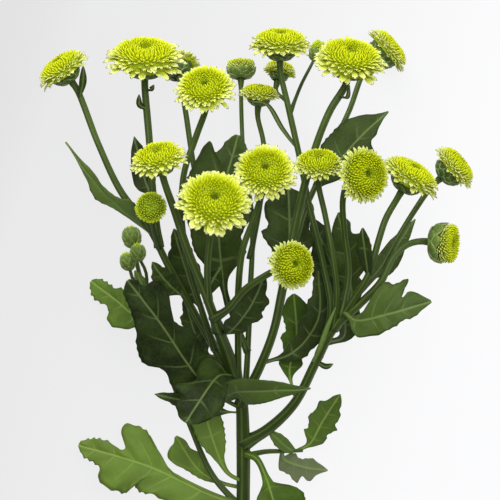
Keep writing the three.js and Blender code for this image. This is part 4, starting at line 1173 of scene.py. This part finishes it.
THREE_LOBED = [(0, 0, 0.05), (0.1, 0.1, 0.08, 0.12, 0.12), (0.2, 0.3, 0.22, 0.26, 0.47),
               (0.34, 0.42, 0.28, 0.52, 0.31), (0.46, 0.56, 0.35, 0.74, 0.54),
               (0.6, 0.7, 0.4, 0.8, 0.3), (0.74, 0.83, 0.34, 0.88, 0.34),
               (0.86, 0.92, 0.24, 0.94, 0.26), (0.95, 0.985, 0.12, 0.99, 0.13), (1, 1, 0.04)]
BROAD_TIPPED = [(0, 0, 0.06), (0.25, 0.25, 0.07), (0.4, 0.42, 0.14), (0.55, 0.57, 0.34),
                (0.7, 0.74, 0.48), (0.84, 0.87, 0.46), (0.94, 0.96, 0.28), (1, 1, 0.05)]
ONE_SIDED = [(0, 0, 0.05), (0.3, 0.3, 0.06), (0.42, 0.46, 0.14, 0.48, 0.16),
             (0.5, 0.62, 0.24, 0.56, 0.22), (0.58, 0.84, 0.5, 0.7, 0.34), (0.7, 0.92, 0.3, 0.8, 0.16),
             (0.84, 0.95, 0.14, 0.9, 0.16), (1, 1, 0.04)]
SQUARE_LOBED = [(0, 0, 0.05), (0.15, 0.17, 0.08, 0.2, 0.06), (0.26, 0.35, 0.4, 0.42, 0.07),
                (0.36, 0.47, 0.4, 0.53, 0.135), (0.44, 0.573, 0.42, 0.58, 0.34),
                (0.49, 0.635, 0.3, 0.65, 0.5), (0.55, 0.645, 0.5, 0.77, 0.49),
                (0.61, 0.7, 0.55, 0.772, 0.34), (0.66, 0.775, 0.54, 0.73, 0.17),
                (0.72, 0.838, 0.4, 0.757, 0.11), (0.78, 0.835, 0.255, 0.81, 0.165),
                (0.84, 0.885, 0.2, 0.888, 0.18), (0.9, 0.948, 0.165, 0.941, 0.155),
                (0.96, 0.985, 0.07, 0.99, 0.08), (1, 1, 0.02)]
HANGING = [(0, 0, 0.07), (0.34, 0.36, 0.06, 0.34, 0.06), (0.38, 0.44, 0.12, 0.435, 0.11),
           (0.42, 0.465, 0.24, 0.48, 0.18), (0.46, 0.505, 0.38, 0.525, 0.26),
           (0.54, 0.6, 0.5, 0.6, 0.3), (0.62, 0.7, 0.5, 0.7, 0.36), (0.8, 0.85, 0.3, 0.85, 0.24),
           (1, 1, 0.04)]
SHALLOW_LOBED = [(0, 0, 0.06), (0.15, 0.18, 0.2, 0.2, 0.12), (0.25, 0.33, 0.44, 0.42, 0.34),
                 (0.36, 0.48, 0.46, 0.53, 0.3), (0.46, 0.54, 0.29, 0.62, 0.28),
                 (0.56, 0.65, 0.25, 0.7, 0.21), (0.68, 0.8, 0.27, 0.8, 0.2),
                 (0.82, 0.92, 0.17, 0.93, 0.15), (1, 1, 0.04)]
TURNED_OVER = [(0, 0, 0.06), (0.14, 0.16, 0.15, 0.16, 0.1), (0.22, 0.24, 0.4, 0.27, 0.34),
               (0.32, 0.38, 0.4, 0.37, 0.38), (0.4, 0.53, 0.6, 0.47, 0.26),
               (0.52, 0.6, 0.36, 0.56, 0.3), (0.62, 0.72, 0.5, 0.68, 0.4),
               (0.78, 0.82, 0.22, 0.84, 0.25), (1, 1, 0.02)]
LONG_SMOOTH = [(0, 0, 0.08), (0.08, 0.1, 0.22), (0.18, 0.22, 0.42), (0.3, 0.36, 0.5),
               (0.45, 0.5, 0.5), (0.6, 0.65, 0.42), (0.75, 0.79, 0.28), (0.88, 0.9, 0.14),
               (1, 1, 0.02)]
LEAVES = {
    "leaf_01": dict(outline=LONG_TIPPED, across=14, faces=(-0.6, -0.2, 0.75), tone=0.9,
                    rib=[(-41, 7, 66), (-47, 12, 74), (-61, 25, 82), (-75, 44, 86)]),
    "leaf_02": dict(outline=LONG_SMOOTH, across=10, faces=(-0.3, 0.3, 0.9), tone=0.0, teeth=0.1,
                    rib=[(-41, 23, 66), (-43.5, 28, 61), (-46, 37, 57), (-49, 48, 53)]),
    "leaf_03": dict(outline=TWO_HUMPED, across=31, faces=(-0.2, -0.1, 0.95), tone=0.15,
                    rib=[(-9, -25, 38), (-11, -16, 43), (-13, 16, 48), (-5, 49, 46)]),
    "leaf_04": dict(outline=TOOTHED, across=14, faces=(-0.4, -0.3, 0.85),
                    rib=[(-20, -26, 62), (-23, -20, 56), (-28, -5, 56), (-32, 9, 58)]),
    "leaf_05": dict(outline=SHORT_TIPPED, across=17, faces=(-0.3, 0.2, 0.9), tone=0.2,
                    rib=[(28, 27, 37), (34, 33, 41), (47, 48, 38), (60, 60, 31)]),
    "leaf_06": dict(outline=ROUNDED, across=25, faces=(0.1, -0.2, 0.95),
                    rib=[(14, -17, 58), (16, -9, 47), (17, 10, 38), (16.5, 27, 31)]),
    "leaf_07": dict(outline=LOBED, across=25, faces=(-0.5, 0, 0.85), tone=0.2,
                    rib=[(40, -25, 68), (43, -19, 57), (41, -2, 50), (38, 16, 46)]),
    "leaf_08": dict(outline=LONG_SMOOTH, across=10, faces=(-0.4, 0.3, 0.85), tone=0.3, teeth=0.15,
                    rib=[(50, -12, 71), (55, -9, 62), (62, 1.5, 57), (70, 13, 53)]),
    "leaf_09": dict(outline=DEEP_NOTCHED, across=26, faces=(0.1, 0.2, 0.95), tone=0.4, teeth=0.4,
                    rib=[(39, -26, 68), (44, -29, 77), (57, -26, 84), (74, -21, 84)]),
    "leaf_10": dict(outline=TOOTHED, across=15, faces=(0.3, -0.5, 0.8),
                    rib=[(-12, -35, 72), (-8, -33, 79), (0, -23, 86), (6, -10, 87)]),
    "leaf_11": dict(outline=TOOTHED, across=14, faces=(0.2, -0.2, 0.95),
                    rib=[(5, -48, 52), (19, -43, 47), (29, -29, 48), (29, -9, 47)]),
    "leaf_12": dict(outline=ROUNDED, across=14, faces=(0, -0.2, 0.95), tone=0.0, light=True,
                    rib=[(19, -62, 46), (17, -52, 40), (20, -38, 37), (19, -19, 33)]),
    "leaf_13": dict(outline=TOOTHED, across=23, faces=(0.3, 0, 0.95),
                    rib=[(32, -39, 60), (40, -36, 49), (37, -12, 34), (27, 14, 29)]),
    "leaf_14": dict(outline=SHALLOW_LOBED, across=20, faces=(0, 0.2, 0.95), tone=0.15, teeth=1.0,
                    light=True, rib=[(-43, -26, 13), (-50, -29, 14), (-60, -22, 11), (-71, -14, 6)]),
    "leaf_15": dict(outline=BROAD_LEFT, across=22, faces=(0, -0.1, 0.95), tone=0.0,
                    rib=[(-3, -68, 41), (-11, -64, 45), (-22, -54, 51), (-38, -30, 62),
                         (-51, -12.5, 67)]),
    "leaf_16": dict(outline=TOOTHED, across=10, faces=(-0.1, -0.4, 0.9),
                    rib=[(-27, -20, 57), (-31, -17, 59), (-36, -12, 60), (-41, -5, 61)]),
    "leaf_17": dict(outline=TOOTHED, across=12, faces=(-0.6, 0, 0.8),
                    rib=[(-13, -45, 48), (-19, -45, 43), (-24, -34, 42), (-28, -20, 42)]),
    "leaf_18": dict(outline=THREE_LOBED, across=25, faces=(-0.3, 0.3, 0.9), tone=0.0,
                    rib=[(-6, -54, 50), (-13, -53, 62), (-19, -60, 71), (-26.5, -71.5, 74)]),
    "leaf_19": dict(outline=TOOTHED, across=8, faces=(0, 0.1, 0.98),
                    rib=[(-4, -70, 39), (-14, -69, 42), (-27, -65, 42), (-41, -62, 40)]),
    "leaf_20": dict(outline=LONG_SMOOTH, across=13, faces=(0.1, -0.4, 0.9), tone=0.45, teeth=0.15,
                    rib=[(-4, -62, 44), (-9, -61, 56), (-5, -59, 67), (8, -58, 74), (25, -57, 76)]),
    "leaf_21": dict(outline=TOOTHED, across=14, faces=(-0.2, -0.1, 0.95), tone=0.1, light=True,
                    rib=[(21, -88, 22), (26.5, -85, 20), (32, -76, 16), (40, -64, 13)]),
    "leaf_22": dict(outline=TURNED_OVER, across=12, faces=(-0.1, -0.1, -0.95), light=True,
                    rib=[(14, -88, 25), (15, -92, 21), (24, -96, 16), (34.5, -98, 11)]),
    "leaf_23": dict(outline=SQUARE_LOBED, across=28, faces=(0.1, 0.1, 0.98), tone=0.3, teeth=0.9,
                    light=True, rib=[(-3, -112, 24), (-17, -107, 27), (-44, -95, 23),
                                     (-76, -86.5, 13)]),
    "leaf_24": dict(outline=BROAD_TIPPED, across=14, faces=(0.2, -0.1, 0.95), tone=0.3, light=True,
                    rib=[(-3, -101, 28), (-10, -96, 34), (-16, -82, 38), (-20, -68, 38)]),
    "leaf_25": dict(outline=ONE_SIDED, across=17, faces=(0.2, 0, 0.95), tone=0.25, light=True,
                    rib=[(-3, -104, 26), (-14, -102, 19), (-23, -97, 15), (-33, -83, 10)]),
    "leaf_26": dict(outline=HANGING, across=26, faces=(0.2, 0.1, 0.95), tone=0.05, light=True,
                    rib=[(-3, -88, 32), (3, -90, 40), (7, -98, 44), (10, -107, 46),
                         (15, -118, 46), (21, -126, 44)]),
}
print("leaves:", len(LEAVES))

# %% [markdown]
# The blade is folded a little along its midrib, swells up between its side veins, and ripples at
# its edge. Its stalk is thick and round, and thins into the blade.

# %% The shape of a leaf
ROWS_PER_STATION = 10
COLUMNS = 15
USUAL_TONE = 0.1  # how far most leaves' colour has moved to the pale one
BLADE_FOLD = 0.16  # rise of the edge above the midrib, for each mm across
DROOP = 0.012  # mm that the edge bends down again, for each mm across squared
BLADE_THICKNESS = 0.45  # mm
STALK_THICKNESS = 1.8  # mm, where the leaf leaves its shoot
STALK_SHARE = 0.3  # the part of a leaf over which the stalk thins into the blade
KEEL = 0.5  # mm that the midrib stands out below
KEEL_WIDTH = 0.8  # mm
RIB_POINTS = 160  # points of a midrib, for reading it at any place
SWELL = 0.45  # mm, how far the blade swells up between two side veins
RIPPLE = 0.07  # of the half width, the ripple at the edge
USUAL_WIDTH = 20  # mm, a leaf with that swell and ripple: narrower ones have less
TOOTH_SPACING = 4.0  # mm between the small teeth along the edge
USUAL_TEETH = 0.5  # mm, how far most leaves' teeth stand out
SIDE_UNEVEN = 0.05  # how much wider or narrower one side is than the other, here and there


def leaf_part(leaf, seed, thickness=STALK_THICKNESS):
    """A closed blade along its midrib.

    A point's place along the rib is its station's rib share, moved towards the edge share by
    |v|^1.2. It lies v times the half width to the side, and above the rib by the fold, the swell
    between the veins, sin(pi q / 2)^2, and the ripple at the edge. Teeth, 0.6 - |sin|, are
    added to the half width."""
    draw = np.random.default_rng(seed)
    stations = np.array([s if len(s) == 5 else (*s, *s[1:]) for s in leaf["outline"]], float)
    last = len(stations) - 1
    q = np.linspace(0, last, last * ROWS_PER_STATION + 1)[:, None]
    v = np.linspace(-1, 1, COLUMNS)[None, :]
    path, length = smooth_path(leaf["rib"], RIB_POINTS)
    tangents = unit(np.gradient(path, axis=0))
    left_edge, right_edge = (
        curve_through(stations[:, k:k + 2] * (length, leaf["across"]), ROWS_PER_STATION)
        for k in (1, 3))
    rib_share = np.interp(q, np.arange(last + 1), stations[:, 0])
    edge_share = np.clip(np.where(v < 0, left_edge[:, :1], right_edge[:, :1]) / length, 0, 1)
    blade = smoothstep(1.0, 2.0, q)
    phase = draw.uniform(0, 2 * np.pi, 3)
    uneven = SIDE_UNEVEN * np.sin(1.3 * q + np.where(v < 0, phase[0], phase[1])) * blade
    half = np.maximum(np.where(v < 0, left_edge[:, 1:], right_edge[:, 1:]), 0.2) * (1 + uneven)
    edge_length = edge_share * length
    turn = np.pi * edge_length / TOOTH_SPACING + 1.5 * np.sin(edge_length / 4 + phase[1]) + np.sign(v)
    tooth = 0.6 - np.abs(np.sin(turn + phase[0]))
    half = half + leaf.get("teeth", USUAL_TEETH) * tooth * smoothstep(1, 4, half) * blade
    share = rib_share + (edge_share - rib_share) * np.abs(v)**1.2
    place, tangent = (np.stack([np.interp(share, np.linspace(0, 1, RIB_POINTS), column)
                                for column in values.T], axis=-1) for values in (path, tangents))
    tangent = unit(tangent)
    normal = square_to(tangent, np.array(leaf["faces"], float))
    right = np.cross(tangent, normal)

    out = np.abs(v) * half
    swell = SWELL * np.sin(np.pi * q / 2)**2 * np.sin(np.pi * np.abs(v)**0.8) * blade
    ripple = RIPPLE * half * np.sin(np.pi * q * 0.9 + np.sign(v) * phase[2]) * np.abs(v)**3
    waves = (swell + ripple * blade) * (leaf["across"] / USUAL_WIDTH)**0.5
    above = BLADE_FOLD * out + waves - DROOP * out**2
    stalk = np.clip(1 - rib_share / STALK_SHARE, 0, 1)
    thick = BLADE_THICKNESS + (thickness - BLADE_THICKNESS) * stalk
    round_off = 1 - 0.65 * stalk * v**2
    keel = KEEL * (1 - rib_share)**0.7 * np.exp(-(out / KEEL_WIDTH)**2) * (1 - stalk)
    heights = np.stack([above + thick * round_off / 2, above - thick * round_off / 2 - keel])
    places = place + right * (v * half)[..., None] + normal * heights[..., None]
    return plates_part(places[None], station=q, across=np.abs(v), side=out,
                       under=np.array([0.0, 1.0])[:, None, None], tone=leaf.get("tone", USUAL_TONE))


# Leaves marked light take the paler copy, whose colour is painted backlight.
for order, (name, leaf) in enumerate(LEAVES.items()):
    light = leaf.get("light", False)
    make_piece("blade_of_" + name, [leaf_part(leaf, 600 + order)], LEAF_PAINTED_BACKLIGHT if light else LEAF,
               "leaf_light" if light else "leaf", [name])
print("triangles of the leaves:", slots_used["leaf"] + slots_used["leaf_light"])

# %% [markdown]
# Small narrow bracts sit on the flower stalks, just under the heads and at the forks. They are
# leaves with a plain outline.

# %% The small bracts
BRACT_THICKNESS = 1.0  # mm, where a bract leaves its stalk
bracts = [bract for shoot in SHOOTS.values() for bract in shoot.get("bracts", [])]
for number, bract in enumerate(bracts, 1):
    blade = leaf_part(dict(bract, outline=PLAIN), 700 + number, thickness=BRACT_THICKNESS)
    make_piece(f"bract_{number}", [blade], LEAF, "stem")
print("bracts:", len(bracts))

# %% [markdown]
# ## Table, light and camera
#
# The picture is bright and nearly without shadow: the background is lit, so light also comes from
# behind the leaves. A pale table that gives off most of its light itself does the same here. A
# large soft light stands past the flowers' end and lights their tops, and a weaker one fills in
# from the camera's side. The room itself is dim, which keeps the leaves from going grey: waxy
# skin mirrors whatever is bright above it.

# %% The pale table


def table_material():
    """Pale matt opal sheet, lit from below, a little darker to the left."""
    material, tree, shader = new_material("lit_opal_sheet", 0.9, 1.4, Emission_Strength=1.0)
    place = add_node(tree, PLACE, out="Object")
    right = add_node(tree, "ShaderNodeSeparateXYZ", {0: place}, out="X")
    up = add_node(tree, "ShaderNodeSeparateXYZ", {0: place}, out="Y")
    share = add_node(tree, MATHS, {0: up, 1: -0.35, 2: right}, operation="MULTIPLY_ADD")
    share = add_node(tree, RANGE, {0: share, 1: -170 * MM, 2: 130 * MM}, **SMOOTH)
    glow = add_node(tree, RAMP, {0: share}, stops=(
        (0.0, "#D8D8D8"), (0.05, "#E0E0E0"), (0.17, "#E2E2E2"), (1.0, "#F5F5F6")))
    tree.links.new(glow, shader["Emission Color"])
    shader["Base Color"].default_value = linear("#3A3A3C")
    return material


bpy.ops.mesh.primitive_plane_add(size=6.0, location=(0, 0, -0.5 * MM))
table = bpy.context.object
table.name = "pale_table"
table.data.materials.append(table_material())
table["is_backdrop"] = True
print("table:", table.name)

# %% Lights and camera
SPRAY_MIDDLE = (0, 0, 60)  # in the drawing


def add_light(name, place_mm, size_mm, power, colour):
    """A square area light at a place of the drawing that looks at the middle of the spray."""
    data = bpy.data.lights.new(name, "AREA")
    data.size = size_mm * MM
    data.energy = power
    data.color = linear(colour)[:3]
    lamp = bpy.data.objects.new(name, data)
    bpy.context.scene.collection.objects.link(lamp)
    lamp.location = in_model(place_mm)
    away = lamp.location - Vector(in_model(SPRAY_MIDDLE))
    lamp.rotation_euler = away.to_track_quat("Z", "Y").to_euler()
    return lamp


add_light("window", (-250, 850, 560), 900, 12, "#FFFDF8")
add_light("fill", (250, 250, 1400), 900, 16, "#FCFCFF")

world = bpy.data.worlds.new("dim_room")
world.use_nodes = True
world.node_tree.nodes["Background"].inputs["Color"].default_value = linear("#F0F0F0")
world.node_tree.nodes["Background"].inputs["Strength"].default_value = 0.32
bpy.context.scene.world = world

CAMERA_HEIGHT = 900  # mm above the table
SENSOR_WIDTH = 36  # mm
LENS = 144  # mm, which is 2000 pixels on a picture 500 pixels wide
camera_data = bpy.data.cameras.new("camera")
camera_data.lens = LENS
camera_data.sensor_width = SENSOR_WIDTH
camera = bpy.data.objects.new("camera", camera_data)
bpy.context.scene.collection.objects.link(camera)
camera.location = in_model((0, 0, CAMERA_HEIGHT))
bpy.context.scene.camera = camera
bpy.context.scene.view_settings.view_transform = "Standard"
print("camera at", np.round(camera.location, 4).tolist())

# %% [markdown]
# ## The size and the triangles
#
# The fine model may stand only a little proud of the imported one. The last lines print the
# triangles of each slot and how far the fine model stands past the imported one.

# %% Sizes and triangles
visual_box = [list(corner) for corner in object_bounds()]
growth = (np.array(visual_box) - np.array(cad_box)) / MM
print("triangles:", slots_used, "all:", sum(slots_used.values()))
print("visual box past the model's, in mm:", np.round(growth, 1).tolist())
